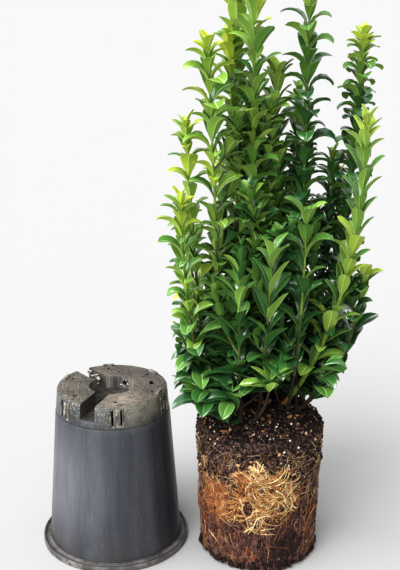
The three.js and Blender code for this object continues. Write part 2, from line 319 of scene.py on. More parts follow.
leafShape = {
    # rows along the leaf, and columns across it as shares of the half width
    "fine": (9, (-1.0, -0.95, -0.5, -0.06, 0.0, 0.06, 0.5, 0.95, 1.0)),
    "plain": (7, (-1.0, -0.94, -0.07, 0.07, 0.94, 1.0)),
    "widthShare": (0.41, 0.43),  # on the upper shoots and low down
    "bendFrom": 0.22,  # the lower part stands along the shoot, the rest arches over
    "thickness": 0.5,
    "fold": 0.42,  # rise of the margin over the midrib as a share of the half width, and how it eases off
    "easing": 0.3,
    "ripples": 9,
    "groove": 0.12,  # the midrib lies deeper above and stands out below
    "ribDepth": 0.35,
    "rootPower": (1.12, 0.95),  # how the outline grows from the stalk, on the upper shoots and low down
    "tipPower": (0.64, 0.82),  # how it closes at the tip
    "stalkTo": 0.35,  # the stalk ends here, and is never narrower than this share
    "stalkShare": 0.09,
    "tipShare": 0.03,
    "teeth": 9,
    "toothDepth": 0.02,
}


def leafOutline(share, a, b):
    # half width along the leaf, 1 at its widest
    widest = a / (a + b)
    most = widest**a * (1 - widest) ** b
    width = share**a * np.maximum(1 - share, 0) ** b / most
    stalk = share < leafShape["stalkTo"]
    scallop = np.abs(np.sin(share * leafShape["teeth"] * math.pi))
    width *= 1 + leafShape["toothDepth"] * (scallop - 0.5) * ~stalk
    return np.maximum(width, np.where(stalk, leafShape["stalkShare"], leafShape["tipShare"]))


def leafFaces(rows, shares):
    # faces and slots of one leaf: 0 blade, 1 veins and margin, 2 underside
    columns = len(shares)
    under = rows * columns
    inner = columns - 2

    def below(i, k):
        return i * columns + k if k in (0, columns - 1) else under + i * inner + k - 1

    faces, slots = [], []
    for i in range(rows - 1):
        for k in range(columns - 1):
            pale = k in (0, columns - 2) or abs(shares[k] + shares[k + 1]) < 0.1
            a = i * columns + k
            faces.append((a, a + 1, a + columns + 1, a + columns))
            slots.append(1 if pale else 0)
            faces.append((below(i, k), below(i + 1, k), below(i + 1, k + 1), below(i, k + 1)))
            slots.append(1 if pale else 2)
    for i, order in ((0, 1), (rows - 1, -1)):
        upper = [i * columns + k for k in range(columns)]
        lower = [below(i, k) for k in range(columns - 2, 0, -1)]
        faces.append(tuple((lower[::-1] + upper[::-1]) if order > 0 else (upper + lower)))
        slots.append(1)
    return faces, slots


def makeLeafPattern(rows, columns):
    shares = 1 - (1 - np.linspace(0, 1, rows)) ** 1.3
    powers = zip(leafShape["rootPower"], leafShape["tipPower"])
    faces, slots = leafFaces(rows, columns)
    return {
        "columns": np.array(columns),
        "shares": shares,
        "outlines": [leafOutline(shares, a, b) for a, b in powers],
        "faces": faces,
        "slots": slots,
    }


leafPatterns = {detail: makeLeafPattern(*leafShape[detail]) for detail in ("fine", "plain")}


def leafVerts(pattern, root, along, out, length, width, low, rootAngle, tipAngle, fold, twist, sway, wave):
    # the midrib leaves the stem at the root angle and arches over to the tip angle
    shares, columns = pattern["shares"], pattern["columns"]
    widths = lerp(*pattern["outlines"], low)
    side = np.cross(along, out)
    half = length * width / 2
    bent = np.clip((shares - leafShape["bendFrom"]) / (1 - leafShape["bendFrom"]), 0, 1)
    angles = np.radians(rootAngle + (tipAngle - rootAngle) * bent**1.1)
    ways = np.outer(np.cos(angles), along) + np.outer(np.sin(angles), out)
    ups = np.outer(np.sin(angles), along) - np.outer(np.cos(angles), out)
    steps = np.diff(shares)[:, None] * length * (ways[1:] + ways[:-1]) / 2
    line = root + np.vstack([np.zeros(3), np.cumsum(steps, axis=0)])
    line += np.outer(shares**2, side) * sway * length
    turn = np.radians(twist) * shares[:, None]
    sides = side * np.cos(turn) + ups * np.sin(turn)
    lifts = ups * np.cos(turn) - side * np.sin(turn)
    reach = (half * widths)[:, None] * columns[None, :]
    across = np.abs(columns)[None, :]
    raised = fold * np.abs(reach) * (1 - leafShape["easing"] * across)
    phase = np.sin(shares * leafShape["ripples"] + 2 * columns[:, None]).T
    ripple = wave * half * across**2 * phase * widths[:, None]
    height = raised + ripple - leafShape["groove"] * (across < 0.05)
    top = line[:, None, :] + reach[:, :, None] * sides[:, None, :] + height[:, :, None] * lifts[:, None, :]
    thick = leafShape["thickness"] * (1 - across**4) * np.clip(widths, 0.35, 1)[:, None]
    thick = thick + leafShape["ribDepth"] * (across < 0.1) * (1 - shares)[:, None]
    bottom = top - thick[:, :, None] * lifts[:, None, :]
    return np.vstack([top.reshape(-1, 3), bottom[:, 1:-1].reshape(-1, 3)])


# the root ball and the shoots
ball = {"height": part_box("root_ball")[1][2] / mm, "topRadius": 54.5, "footRadius": 49.5, "edge": 5}
ballLook = {
    "round": 280,
    "layers": 108,
    "topRings": 34,
    "lump": 1.5,  # depth of the larger unevenness
    "crumb": 1.3,  # depth of the crumbs in the surface
    "mound": 11.0,  # how far the compost rises towards the stems
    "ragged": 7.5,  # how far the foot of the ball breaks in and out
}
reachLow, reachHigh = (np.array(corner) / mm for corner in cadBox)
cuttings = {"left": (-36, 14), "middle": (-6, 18), "right": (18, 10), "back": (4, 36), "front": (-16, -8)}
# by the same table and rule as the solids: cutting, bearing, reach and height of the tip, bow and leaf,
# then how much darker than the rest a shoot is: partly its own green, partly painted light and shade,
# paler on the left where the light falls and darker on the right and low down
shoots = {
    "left_low": ("left", 204, 73, 319, 0.9, 23, -0.32),
    "left_mid": ("left", 185, 63, 373, 0.5, 24, -0.3),
    "left_tall": ("left", 213, 55, 436, 0.1, 26, -0.26),
    "left_inner": ("middle", 161, 31, 441, 0.15, 24, -0.1),
    "tall_left": ("middle", 140, 31, 478, 0.1, 27, -0.07),
    "tall_centre": ("middle", 222, 15, 486, 0.5, 31, -0.04),
    "centre_right": ("right", 56, 18, 419, 0.1, 28, 0.02),
    "tall_right": ("right", 9, 33, 484, 1.4, 27, 0.2),
    "right_back": ("right", 11, 78, 441, 0.95, 22, 0.26),
    "right_front": ("right", 335, 82, 379, 1.05, 25, -0.32),
    "right_mid": ("right", 27, 65, 341, 1.1, 26, 0.3),
    "right_low": ("right", 352, 82, 258, 1.0, 28, 0.26),
    "front_right": ("right", 306, 52, 317, 1.0, 28, 0.12),
    "front_centre": ("front", 274, 50, 288, 0.8, 30, 0.08),
    "front_left": ("front", 246, 52, 256, 0.8, 27, 0.13),
    "back_far_left": ("left", 154, 69, 300, 0.9, 26, -0.16),
    "back_left": ("back", 120, 66, 330, 0.9, 27, 0.0),
    "back_centre": ("back", 101, 44, 398, 0.6, 27, 0.05),
    "back_middle": ("back", 83, 66, 345, 0.9, 27, 0.0),
    "back_right": ("back", 58, 58, 392, 0.9, 27, 0.05),
    "back_far_right": ("right", 33, 80, 325, 1.0, 26, 0.28),
    "low_left": ("front", 218, 60, 166, 0.9, 27, 0.4),
    "low_far_left": ("left", 176, 64, 196, 0.9, 26, 0.32),
    "low_front_left": ("front", 243, 58, 168, 0.9, 28, 0.38),
    "low_front": ("front", 274, 58, 180, 0.9, 29, 0.28),
    "low_right": ("right", 318, 64, 192, 0.9, 27, 0.28),
    "low_far_right": ("right", 6, 64, 205, 0.9, 27, 0.42),
    "low_back": ("back", 95, 66, 200, 0.8, 28, 0.2),
}
# how a shoot differs from the rest: size, spacing and width of its leaves as shares, degrees by which they
# curl, stand upright or turn, how much greener its tip is and how far it has opened, the length without
# leaves, and the share of leaves that have dropped
traits = {
    "left_low": {"larger": 1.14, "closer": 1.06, "broad": 1.1, "curled": 16, "older": -4},
    "left_mid": {"larger": 1.14, "closer": 1.06, "broad": 1.1, "curled": 14, "older": -3},
    "left_tall": {"larger": 1.06, "closer": 0.96, "broad": 1.14, "curled": 12},
    "left_inner": {"larger": 1.08, "closer": 0.98, "broad": 1.12, "upright": 10},
    "tall_left": {"larger": 1.05, "closer": 0.88, "broad": 1.12, "upright": 8},
    "tall_centre": {"larger": 0.88, "closer": 0.8, "broad": 0.94, "upright": 8, "turned": 34, "older": 6},
    "centre_right": {"closer": 0.8, "broad": 0.9, "upright": 28, "turned": 28, "older": 26, "opened": 0.6},
    "tall_right": {"larger": 1.1, "closer": 0.73, "broad": 1.14, "curled": 30, "turned": 14},
    "right_back": {"larger": 1.06, "closer": 0.68, "broad": 1.35, "curled": 58},
    "right_front": {
        "larger": 1.14, "closer": 0.86, "broad": 0.86, "upright": 46, "turned": 5, "older": 12, "bare": 44,
    },
    "right_mid": {"closer": 0.82, "older": 16},
    "right_low": {"opened": 0.6},
    "front_right": {"upright": 12, "older": 16, "opened": 0.7},
    "front_centre": {"broad": 0.92, "upright": 40, "turned": 30, "older": 10, "opened": 1.0},
    "front_left": {"broad": 0.88, "upright": 34, "older": 30, "opened": 0.9},
    "back_far_left": {"older": 16},
    "back_centre": {"closer": 0.8, "upright": 30},
    "back_right": {"older": 34},
    "low_left": {"larger": 1.08, "broad": 1.1},
    "low_far_left": {"larger": 1.22, "broad": 1.1},
    "low_front_left": {"broad": 1.1},
    "low_front": {"dropped": 0.2},
    "low_right": {"dropped": 0.3, "bare": 22},
    "low_far_right": {"dropped": 0.2},
}
growth = {
    "knee": 0.38,
    "footSpread": 8,
    "footSpacing": 9,
    "spacingRounds": 80,
    "bareLength": 22,
    "leafless": 6,
    "stemRadius": 2.4,
    "twigRadius": 1.7,
    "tipRadius": 0.6,
    "woodyTo": 170,  # twigs are bark brown up to this height, that dark partly as painted shade under the crown, and fresh green only above the next
    "freshFrom": 225,
    "internode": (7.0, 12.0),  # for leaves of 23 and of 31
    "budInternode": (1.8, 4.6),  # at a tight bud and at a tip that has opened
    "budShare": (0.46, 0.8),
    "budLow": 0.2,  # low buds are larger by this share
    "budLength": 14,
    "budOff": (8, 6),  # degrees at which a bud's first leaves stand off, and more for each millimetre down
    "budAngle": 24,
    "budFold": 1.2,
    "grownFrom": 36,
    "lowered": 13,  # an opened tip ends so much lower, as its leaves stand up
    "rootAngle": 20,
    "tipAngle": 98,
    "spin": 40,  # degrees by which one shoot is turned against another
    "jitter": 16,
    "tipJitter": 2.3,
    "low": (222, 167),  # down from here the leaves are larger, stand off and hang
    "lowLarger": 0.3,
    "lowOff": 42,
    "lowHang": 38,
    # a leaf that doesn't stand clear is tried again: share of its size, swing and lift in degrees
    "tries": [(1, 0, 0), (0.92, 20, 15), (0.92, -20, 15)],
    "lowTries": [(0.92, 48, 25), (0.92, -48, 25), (0.88, 80, 35), (0.88, -80, 35)],
    "lastTry": (0.8, 0, 45),
    "stunted": [(0.66, 0, 70), (0.6, 0, 95)],
    "edgeFrom": -48,  # left of this X there are no stunted leaves
    "clear": 2.4,  # how near a leaf may come to the line of another shoot
    "past": 2.5,  # how far a leaf may reach past the box of the solids
    "showing": ("right_front", 8, 76),  # a stretch of bare stem that nothing hides from the front
    "openTowards": (-0.11, -0.91, 0.4),
    "openWidth": 8.0,
    "openTo": 200,
    "thicker": 0.7,  # that stem is thicker than the others by so much, and its leaves hang less
    "hangsLess": 0.6,
    "skirt": 0.28,  # how steeply the crown's underside rises outwards in front
    "skirtFrom": 16,
    "skirtGap": 4,
    "behind": 12,  # behind this Y leaves hang down to the compost
    "overSoil": 2.5,
    "frontFloor": 143,  # right of one X and in front of one Y it stands higher and shows the compost
    "frontFrom": -17,
    "frontTo": 20,
    "frontRise": 0.4,
    "frontSlope": (0.35, 10, 20),  # it comes down to the right: how steeply, from which X and for how far
    "rightFrom": 52,  # right of this X it rises
    "rightRise": 1.7,
    "lowLeft": -77,  # the low leaves keep within this X
}


def trait(name, kind, usual):
    return traits.get(name, {}).get(kind, usual)


def moundRise(share):
    # how far the compost has risen at a share of its radius
    return ballLook["mound"] * np.clip(1 - share**2, 0, 1)


def footPlaces(tips):
    feet = []
    for (cutting, *_), tip in zip(shoots.values(), tips):
        middle = Vector(cuttings[cutting])
        feet.append(middle + (tip - middle).normalized() * growth["footSpread"])
    for _ in range(growth["spacingRounds"]):
        for i, a in enumerate(feet):
            for k in range(i + 1, len(feet)):
                apart = a - feet[k]
                short = growth["footSpacing"] - apart.length
                if short > 0:
                    push = apart.normalized() * short / 2
                    a += push
                    feet[k] -= push
        for foot in feet:
            most = ball["topRadius"] - 2 * ball["edge"]
            if foot.length > most:
                foot *= most / foot.length
    return feet


def bentLine(start, bend, end, count):
    # points on a curve, and how far along it each of them is
    t = np.linspace(0, 1, count)[:, None]
    curve = (1 - t) ** 2 * start + 2 * t * (1 - t) * bend + t**2 * end
    run = np.concatenate([[0], np.cumsum(np.linalg.norm(np.diff(curve, axis=0), axis=1))])
    return curve, run


def shootLines():
    # each shoot from the compost over its knee to its tip
    tips = []
    for _, bearing, reach, *_ in shoots.values():
        turn = math.radians(bearing)
        tips.append(Vector((reach * math.cos(turn), reach * math.sin(turn))))
    lines = {}
    for (name, row), tip, foot in zip(shoots.items(), tips, footPlaces(tips)):
        height, bow = row[3:5]
        start = np.array([foot.x, foot.y, ball["height"]])
        end = np.array([tip.x, tip.y, height])
        bend = start + (end - start) * bow
        bend[2] = lerp(start[2], end[2], growth["knee"])
        lines[name] = bentLine(start, bend, end, 200)
    return lines


def alongLine(line, distance):
    curve, run = line
    return np.array([np.interp(distance, run, curve[:, k]) for k in range(3)])


def linesBut(lines, *left):
    # points on all shoots but those left out
    return np.concatenate([curve[::4] for name, (curve, _) in lines.items() if name not in left])


def frameOn(line, distance):
    # place and three directions on a shoot: along it, across it near +X, and across both
    step = 2.0
    last = line[1][-1]
    way = alongLine(line, min(distance + step, last)) - alongLine(line, max(distance - step, 0))
    along = way / np.linalg.norm(way)
    along = along * 0.6 + np.array([0, 0, 0.4])  # leaves turn up towards the light on a leaning shoot
    along /= np.linalg.norm(along)
    across = np.array([1.0, 0, 0]) - along * along[0]
    across /= np.linalg.norm(across)
    return alongLine(line, distance), along, across, np.cross(along, across)


sideTwigs = {
    "from": 0.05,  # share of the shoot along which they stand, and how far apart
    "to": 0.8,
    "every": 34,
    "upTo": 395,
    "none": ("right_back", "left_low", "left_mid", "right_front"),
    "length": (36, 68),
    "towards": (-5, 10),  # they lean inwards to this place, give or take
    "swing": 2.6,
    "lean": 30,
    "apart": 4,  # room that one keeps to every other shoot
    "leaf": 0.9,  # its leaves against those of its shoot
    "shade": 0.04,
    "older": 45,  # its tip is as deep a green as a shoot is this far down
    "bare": 3,
    "radius": (1.1, 0.5),
}


def sideLines(lines):
    # short side twigs that rise from the shoots into the crown
    found = {}
    for number, (name, line) in enumerate(lines.items()):
        if name in sideTwigs["none"]:
            continue
        length = line[1][-1]
        others = linesBut(lines, name)
        spots = np.arange(length * sideTwigs["from"], length * sideTwigs["to"], sideTwigs["every"])
        for k, distance in enumerate(spots):
            root = alongLine(line, distance)
            x, y = sideTwigs["towards"]
            turn = math.atan2(y - root[1], x - root[0]) + sideTwigs["swing"] * (chance(number, k, 51) - 0.5)
            lean = math.radians(sideTwigs["lean"] * (0.6 + 0.8 * chance(number, k, 53)))
            size = lerp(*sideTwigs["length"], chance(number, k, 52))
            side = np.array([math.cos(turn), math.sin(turn), 0]) * math.sin(lean)
            up = np.array([0, 0, math.cos(lean)])
            end = root + size * (side + up)
            curve, run = bentLine(root, root + size * (0.8 * side + 0.35 * up), end, 40)
            taken = np.concatenate([others] + [c for c, _ in found.values()])
            near = np.linalg.norm(curve[12:, None] - taken[None], axis=2).min()
            if near >= sideTwigs["apart"] and end[2] <= sideTwigs["upTo"]:
                found[f"{name}.{k}"] = (curve, run)
    return found


def leafNodes(leafyLength, grown, closer, opened):
    # distances below the tip at which a pair of leaves stands
    internode = lerp(*growth["internode"], ramp(grown, 23, 31)) * closer
    bud = lerp(*growth["budInternode"], opened)
    found, below = [], 0.8 + growth["lowered"] * opened
    while below < leafyLength:
        found.append(below)
        below += lerp(bud, internode, clamp(below / growth["grownFrom"]) ** 0.7)
    return found


tinting = {
    "steps": (0.12, 0.24, 0.42, 0.62, 0.82),  # values at which one tint gives way to the next
    "age": 0.55,  # what adds to that value, and by how much
    # painted shade: leaves lower down and inside the crown take darker tints
    "height": 0.22,
    "inside": 0.05,
    "varied": 0.38,
    "ages": (-6, 84),  # lengths below the tip, and heights, over which it adds up
    "heights": (430, 130),
    "middle": (-8, 12, 40),  # X and Y of the crown's middle, and how far its painted shade reaches
    "insideTo": (300, 240),
    "felt": (8, 36),  # lengths over which the shade of a shoot sets in, and of a pale one
    "paleFelt": (20, 110),
    "feltFrom": 210,  # below this height it is felt in full
    "leftFade": (140, 220),  # low on the left the pale shoots are no paler than the rest
}


def leafTint(below, root, shade, number, i, side):
    # pale at the growing tip and deeper down the shoot; darker inside the crown and low down as painted
    # shade, and by each shoot's own shade, which is partly painted light
    x, y, z = root
    midX, midY, wide = tinting["middle"]
    inside = clamp(1.3 - math.hypot(x - midX, y - midY) / wide) * ramp(z, *tinting["insideTo"])
    felt = ramp(below, *tinting["felt" if shade > 0 else "paleFelt"])
    if z < tinting["feltFrom"]:
        felt = 1
    if shade < 0 and x < 0:
        felt *= ramp(z, *tinting["leftFade"])
    value = tinting["age"] * ramp(below, *tinting["ages"]) ** 0.7
    value += tinting["height"] * ramp(z, *tinting["heights"])
    value += tinting["inside"] * inside + shade * felt
    value += tinting["varied"] * (chance(number, 40 + i, 3 + side) - 0.52)
    return list(leafTints)[sum(value > step for step in tinting["steps"])]


def standsClear(verts, name, lines, others):
    # within the reach of the solids, out of the compost and off the other shoots
    past = growth["past"]
    if (verts.min(axis=0) < reachLow - past).any() or (verts.max(axis=0) > reachHigh + past).any():
        return False
    x, y, z = verts.T
    spread = np.linalg.norm(verts[:, :2], axis=1)
    outside = np.maximum(spread - growth["skirtFrom"], 0)
    skirt = ball["height"] + growth["skirtGap"] + outside * growth["skirt"]
    soil = ball["height"] + moundRise(spread / ball["topRadius"])
    floor = np.where(y < growth["behind"], skirt, soil + growth["overSoil"])
    steep, start, wide = growth["frontSlope"]
    atRight = x - growth["rightFrom"]
    raised = growth["frontFloor"] - growth["frontRise"] * y - steep * np.clip(x - start, 0, wide)
    raised = raised + growth["rightRise"] * np.maximum(atRight, 0) * (name != growth["showing"][0])
    inFront = (y < growth["frontTo"]) & (x > growth["frontFrom"])
    if (z < np.where(inFront | (atRight > 0), np.maximum(floor, raised), floor)).any():
        return False
    if ((z < growth["low"][0]) & (x < growth["lowLeft"])).any():
        return False
    shown, start, end = growth["showing"]
    if name != shown and z.min() < growth["openTo"]:
        toFront = np.array(growth["openTowards"])
        for distance in np.arange(start, end, 8.0):
            away = verts - alongLine(lines[shown], distance)
            ahead = away @ toFront
            aside = np.linalg.norm(away - np.outer(ahead, toFront), axis=1)
            if ((ahead > 0) & (aside < growth["openWidth"])).any():
                return False
    points = verts[18::7]  # some of its points will do, without those at the stalk
    return np.linalg.norm(points[:, None] - others[None], axis=2).min() > growth["clear"]


def growLeaves(name, number, line, lines, bags, detail):
    shoot = name.split(".")[0]
    grown, shade = shoots[shoot][5:7]
    grown = grown * trait(shoot, "larger", 1)
    bare, older = trait(name, "bare", growth["leafless"]), trait(name, "older", 0)
    if name != shoot:
        grown, shade = grown * sideTwigs["leaf"], max(shade, 0) + sideTwigs["shade"]
        bare, older = sideTwigs["bare"], sideTwigs["older"]
    length = line[1][-1]
    twist = growth["spin"] * (chance(number, 3, 1) - 0.5) + trait(shoot, "turned", 0)
    opened = trait(name, "opened", 0)
    budShare = lerp(*growth["budShare"], opened)
    curl, upright, broad = trait(shoot, "curled", 0), trait(shoot, "upright", 0), trait(shoot, "broad", 1)
    others = linesBut(lines, name, shoot)
    pattern = leafPatterns[detail]
    for i, below in enumerate(leafNodes(length - bare, grown, trait(shoot, "closer", 1), opened)):
        age = clamp(below / growth["grownFrom"])
        bud = clamp(1 - below / growth["budLength"])
        root, along, across, beside = frameOn(line, length - below)
        low = ramp(root[2], *growth["low"])
        if shoot == growth["showing"][0]:
            low *= growth["hangsLess"]
        tries = growth["tries"] + (growth["lowTries"] if low else []) + [growth["lastTry"]]
        if root[0] > growth["edgeFrom"]:
            tries = tries + growth["stunted"][: 2 if low else 1]
        for side in (0, 1):
            if chance(number, 70 + i, side) < trait(name, "dropped", 0) * age:
                continue
            dice = [chance(number, 10 + i, 4 + 9 * side + k) for k in range(8)]
            wobble = [growth["jitter"] * (2 * roll - 1) for roll in dice]
            size = grown * lerp(budShare + growth["budLow"] * low, 1, age**0.7) * (1 + wobble[1] / 80)
            size *= 1 + growth["lowLarger"] * low
            width = lerp(*leafShape["widthShare"], low) * broad * (1 + wobble[7] / 110)
            budOff, more = growth["budOff"]
            rootAngle = lerp(growth["rootAngle"], budOff + more * below, bud) + wobble[2] / 2
            rootAngle += growth["lowOff"] * low
            arched = growth["tipAngle"] - upright * (1 - low) + growth["lowHang"] * low + curl * age
            tipAngle = lerp(arched, rootAngle + growth["budAngle"], bud)
            tipAngle += growth["tipJitter"] * wobble[3] * age
            fold = leafShape["fold"] * (1 + wobble[4] / 40) * lerp(growth["budFold"], 1, age)
            for share, swing, lift in tries:
                turn = math.radians(twist + 90 * i + 180 * side + wobble[0] + swing)
                out = across * math.cos(turn) + beside * math.sin(turn)
                verts = leafVerts(
                    pattern, root, along, out, size * share, width, low,
                    rootAngle - lift / 3, tipAngle - lift,
                    fold, 1.4 * wobble[5], wobble[6] / 130, 0.05 + 0.03 * age,
                )
                if standsClear(verts, name, lines, others):
                    tint = leafTint(below + older, root, shade, number, i, side)
                    putIn(bags[tint], verts, pattern["faces"], pattern["slots"])
                    break


def makeFoliage(lines, sides):
    finishes = makeLeafFinishes()
    every = {**lines, **sides}
    for group, detail, some in (("leaves", "fine", lines), ("inner_leaves", "plain", sides)):
        bags = {tint: newBag() for tint in leafTints}
        for number, (name, line) in enumerate(some.items()):
            growLeaves(name, number, line, every, bags, detail)
        for tint, bag in bags.items():
            if bag["count"]:
                makePiece(f"{group}_{tint}", bag, finishes[tint], sharpDegrees=70)


twigLook = {
    # two colours, their patches, relief, roughness and shine
    "twig_fresh": ((126, 152, 62), (102, 130, 54), (300, 0.4, 0.6), (900, 0.2, 0.1), 0.45),
    "twig_olive": ((74, 94, 38), (84, 84, 42), (220, 0.45, 0.7, 0.3), (700, 0.3, 0.15), 0.55),
    # the stems' bark: a dark brown of its own, darkened further as painted shade under the crown
    "stem_bark": ((60, 48, 35), (34, 27, 22), (260, 0.38, 0.6, 0.25), (520, 0.7, 0.35), 0.75, 0.3),
    "stem_bark_pale": ((206, 158, 84), (156, 112, 58), (260, 0.38, 0.6, 0.25), (520, 0.7, 0.35), 0.75, 0.3),
}


def twigTube(name, line):
    # the leafy length of a shoot, thicker at each pair of leaves
    length, bare, sides = line[1][-1], growth["bareLength"], 8
    spots = np.arange(bare - 1, length - growth["lowered"] * trait(name, "opened", 0), 4.5)
    points = np.array([alongLine(line, d) for d in spots])
    shares = (spots - bare) / (length - bare)
    shown = name == growth["showing"][0]
    radii = lerp(growth["twigRadius"], growth["tipRadius"], shares)
    radii *= 1 + 0.1 * np.sin(spots / growth["internode"][0] * 2 * math.pi)
    radii += growth["thicker"] * shown * np.clip(1 - shares * 1.6, 0, 1)
    verts, faces = tubeParts(points, radii, sides)
    slots = []
    for d, p in zip(spots, points):
        fresh = d > length * 0.55 and p[2] > growth["freshFrom"]
        slots.append(0 if fresh or shown else 1 if p[2] > growth["woodyTo"] else 2)
    return verts, faces, [slots[f[0] // sides] for f in faces]


def stemTube(name, number, line):
    # the bare foot of a shoot, flared at the compost and rough with bark
    bare, sides = growth["bareLength"], 12
    spots = np.linspace(-1.5, bare + 0.5, 18)
    points = np.array([alongLine(line, max(d, 0)) for d in spots])
    points[:, 2] += np.minimum(spots, 0)
    flare = growth["stemRadius"] * (1 + 0.5 * np.exp(-np.maximum(spots, 0) / 2.5))
    radii = flare + (growth["twigRadius"] - growth["stemRadius"]) * np.clip(spots / bare, 0, 1)
    radii *= 1 + 0.07 * np.sin(spots * 2.1 + number)
    shown = name == growth["showing"][0]
    verts, faces = tubeParts(points, radii + growth["thicker"] * shown, sides)
    rough = np.array([1 + 0.06 * noise.noise(Vector(v) * 0.9) for v in verts])
    middle = np.repeat(points, sides, axis=0)
    return middle + (verts - middle) * rough[:, None], faces, [int(shown)] * len(faces)


def makeTwigs(lines, sides):
    fresh, olive, bark, paleBark = (twoTone(name, *look) for name, look in twigLook.items())
    upper, stems = newBag(), newBag()
    for number, (name, line) in enumerate(lines.items()):
        putIn(upper, *twigTube(name, line))
        putIn(stems, *stemTube(name, number, line))
    for curve, _ in sides.values():
        points = curve[::4]
        verts, faces = tubeParts(points, np.linspace(*sideTwigs["radius"], len(points)), 6)
        putIn(upper, verts, faces, [1 if points[0][2] > growth["woodyTo"] else 2] * len(faces))
    makePiece("twigs", upper, [fresh, olive, bark], [f"foliage_{n}" for n in shoots])
    makePiece("stem_feet", stems, [bark, paleBark], [f"stem_{n}" for n in shoots])


def ballRadius(z):
    return lerp(ball["footRadius"], ball["topRadius"], z / ball["height"])


def crumble(place):
    # unevenness of the compost at a place in millimetres
    p = Vector(place)
    lumps = noise.fractal(p * 0.055, 1.0, 2.0, 3) * ballLook["lump"]
    cells = noise.voronoi(p * 0.34)[0][0]
    fine = noise.noise(p * 0.8)
    ragged = ballLook["ragged"] * noise.noise(p * 0.2) * ramp(place[2], 14, 0)
    return lumps + ballLook["crumb"] * (0.45 - cells) + 0.35 * fine + ragged


def makeCompost(finish):
    height, edge, across = ball["height"], ball["edge"], ballLook["round"]
    foot, top = ballRadius(0) - edge, ballRadius(height) - edge
    lower, upper = np.linspace(0, math.pi / 2, 9), np.linspace(0, math.pi / 2, 7)[1:]  # the rounded edges
    profile = [(foot, 0.0)]
    profile += [(foot + 0.98 * edge * math.sin(t), edge - edge * math.cos(t)) for t in lower]
    profile += [(ballRadius(z), z) for z in np.linspace(edge, height - edge, ballLook["layers"])[1:]]
    profile += [(top + edge * math.cos(t), height - edge + edge * math.sin(t)) for t in upper]
    shares = 1 - np.arange(1, ballLook["topRings"]) / ballLook["topRings"]
    profile += [(top * share, height + moundRise(share)) for share in shares]
    verts = []
    for n, (radius, z) in enumerate(profile):
        for turn in turnsRound(across):
            flat = np.array([math.cos(turn), math.sin(turn), 0])
            place = flat * radius + np.array([0, 0, z])
            if n > 0:
                bump = crumble(place)
                steep = clamp((height - z) / edge)
                place = place + flat * bump * steep + np.array([0, 0, bump * (1 - steep)])
                place[2] = max(place[2], 0.0)
            verts.append(place)
    bag = newBag()
    putIn(bag, verts, ringFaces(len(profile), across))
    makePiece("compost", bag, [finish], ["root_ball"], sharpDegrees=0)


def surfacePlace(turn, z, lift=0.0):
    # a point on the side of the root ball, lift outside it
    radius = ballRadius(z) + lift
    return np.array([radius * math.cos(turn), radius * math.sin(turn), z])


def makeLumpShape():
    form = bmesh.new()
    bmesh.ops.create_icosphere(form, subdivisions=1, radius=1.0)
    verts = np.array([v.co for v in form.verts])
    faces = [tuple(v.index for v in f.verts) for f in form.faces]
    form.free()
    return verts, faces


lumpShape = makeLumpShape()


def crumbParts(place, size, rng):
    # a small angular lump
    verts, faces = lumpShape
    stretch = np.array([rng.uniform(0.7, 1.3), rng.uniform(0.7, 1.2), rng.uniform(0.7, 1.1)])
    jag = np.array([rng.uniform(0.75, 1.2) for _ in verts])[:, None]
    angle = rng.uniform(0, 6.28)
    axis = Vector((rng.random(), rng.random(), rng.random() + 0.1))
    turn = np.array(Matrix.Rotation(angle, 3, axis))
    return place + (verts * jag * stretch) @ turn.T * size, faces


crumbs = {
    "dark": {"count": 4200, "size": (0.5, 2.0), "colours": [(38, 29, 27), (17, 13, 13)]},
    # clods lie at the ragged foot
    "clods": {"count": 320, "size": (0.9, 3.2), "colours": [(52, 38, 34), (24, 18, 17)]},
    "brown": {"count": 1900, "size": (0.4, 2.0), "colours": [(106, 80, 68), (46, 33, 29)]},
    "tan": {"count": 900, "size": (0.3, 1.9), "colours": [(198, 164, 126), (146, 108, 76)]},
    "pale": {"count": 470, "size": (0.28, 1.4), "colours": [(240, 234, 222), (214, 198, 170)]},
}


strewn = {
    "onTop": 0.35,  # the share that lies on top
    "lightFrom": (35, 95),  # heights over which the light ones set in
    "covered": (12, 84),  # heights between which roots hide most of the others
    "hidden": 0.93,
}


def ballSpot(rng, topShare):
    # a place on the top or the side of the root ball
    turn = rng.uniform(0, fullTurn)
    if rng.random() < topShare:
        radius = (ball["topRadius"] - 2) * math.sqrt(rng.random())
        z = ball["height"] + moundRise(radius / ball["topRadius"])
        place = np.array([radius * math.cos(turn), radius * math.sin(turn), z])
        return place + np.array([0, 0, crumble(place)])
    z = rng.uniform(1.5, ball["height"] - 2)
    return surfacePlace(turn, z, crumble(surfacePlace(turn, z)))


def makeCrumbs():
    rng = random.Random(5)
    for name, row in crumbs.items():
        bag = newBag()
        light = name in ("pale", "tan")
        for _ in range(row["count"]):
            place = ballSpot(rng, strewn["onTop"])
            if name == "clods":
                place = surfacePlace(rng.uniform(0, fullTurn), rng.uniform(1, 7), rng.uniform(-2.5, 1.2))
            if light and rng.random() > ramp(place[2], *strewn["lightFrom"]):
                continue
            low, high = strewn["covered"]
            if not light and low < place[2] < high and rng.random() < strewn["hidden"]:
                continue
            size = lerp(*row["size"], rng.random() ** (3 if light else 1.3))
            place[2] = max(place[2], size * 1.7)
            putIn(bag, *crumbParts(place, size, rng))
        finish = twoTone(f"crumb_{name}", *row["colours"], (500, 0.4, 0.6), (1500, 0.6, 0.12), 0.92, 0.2)
        makePiece(f"crumbs_{name}", bag, [finish], sharpDegrees=30)


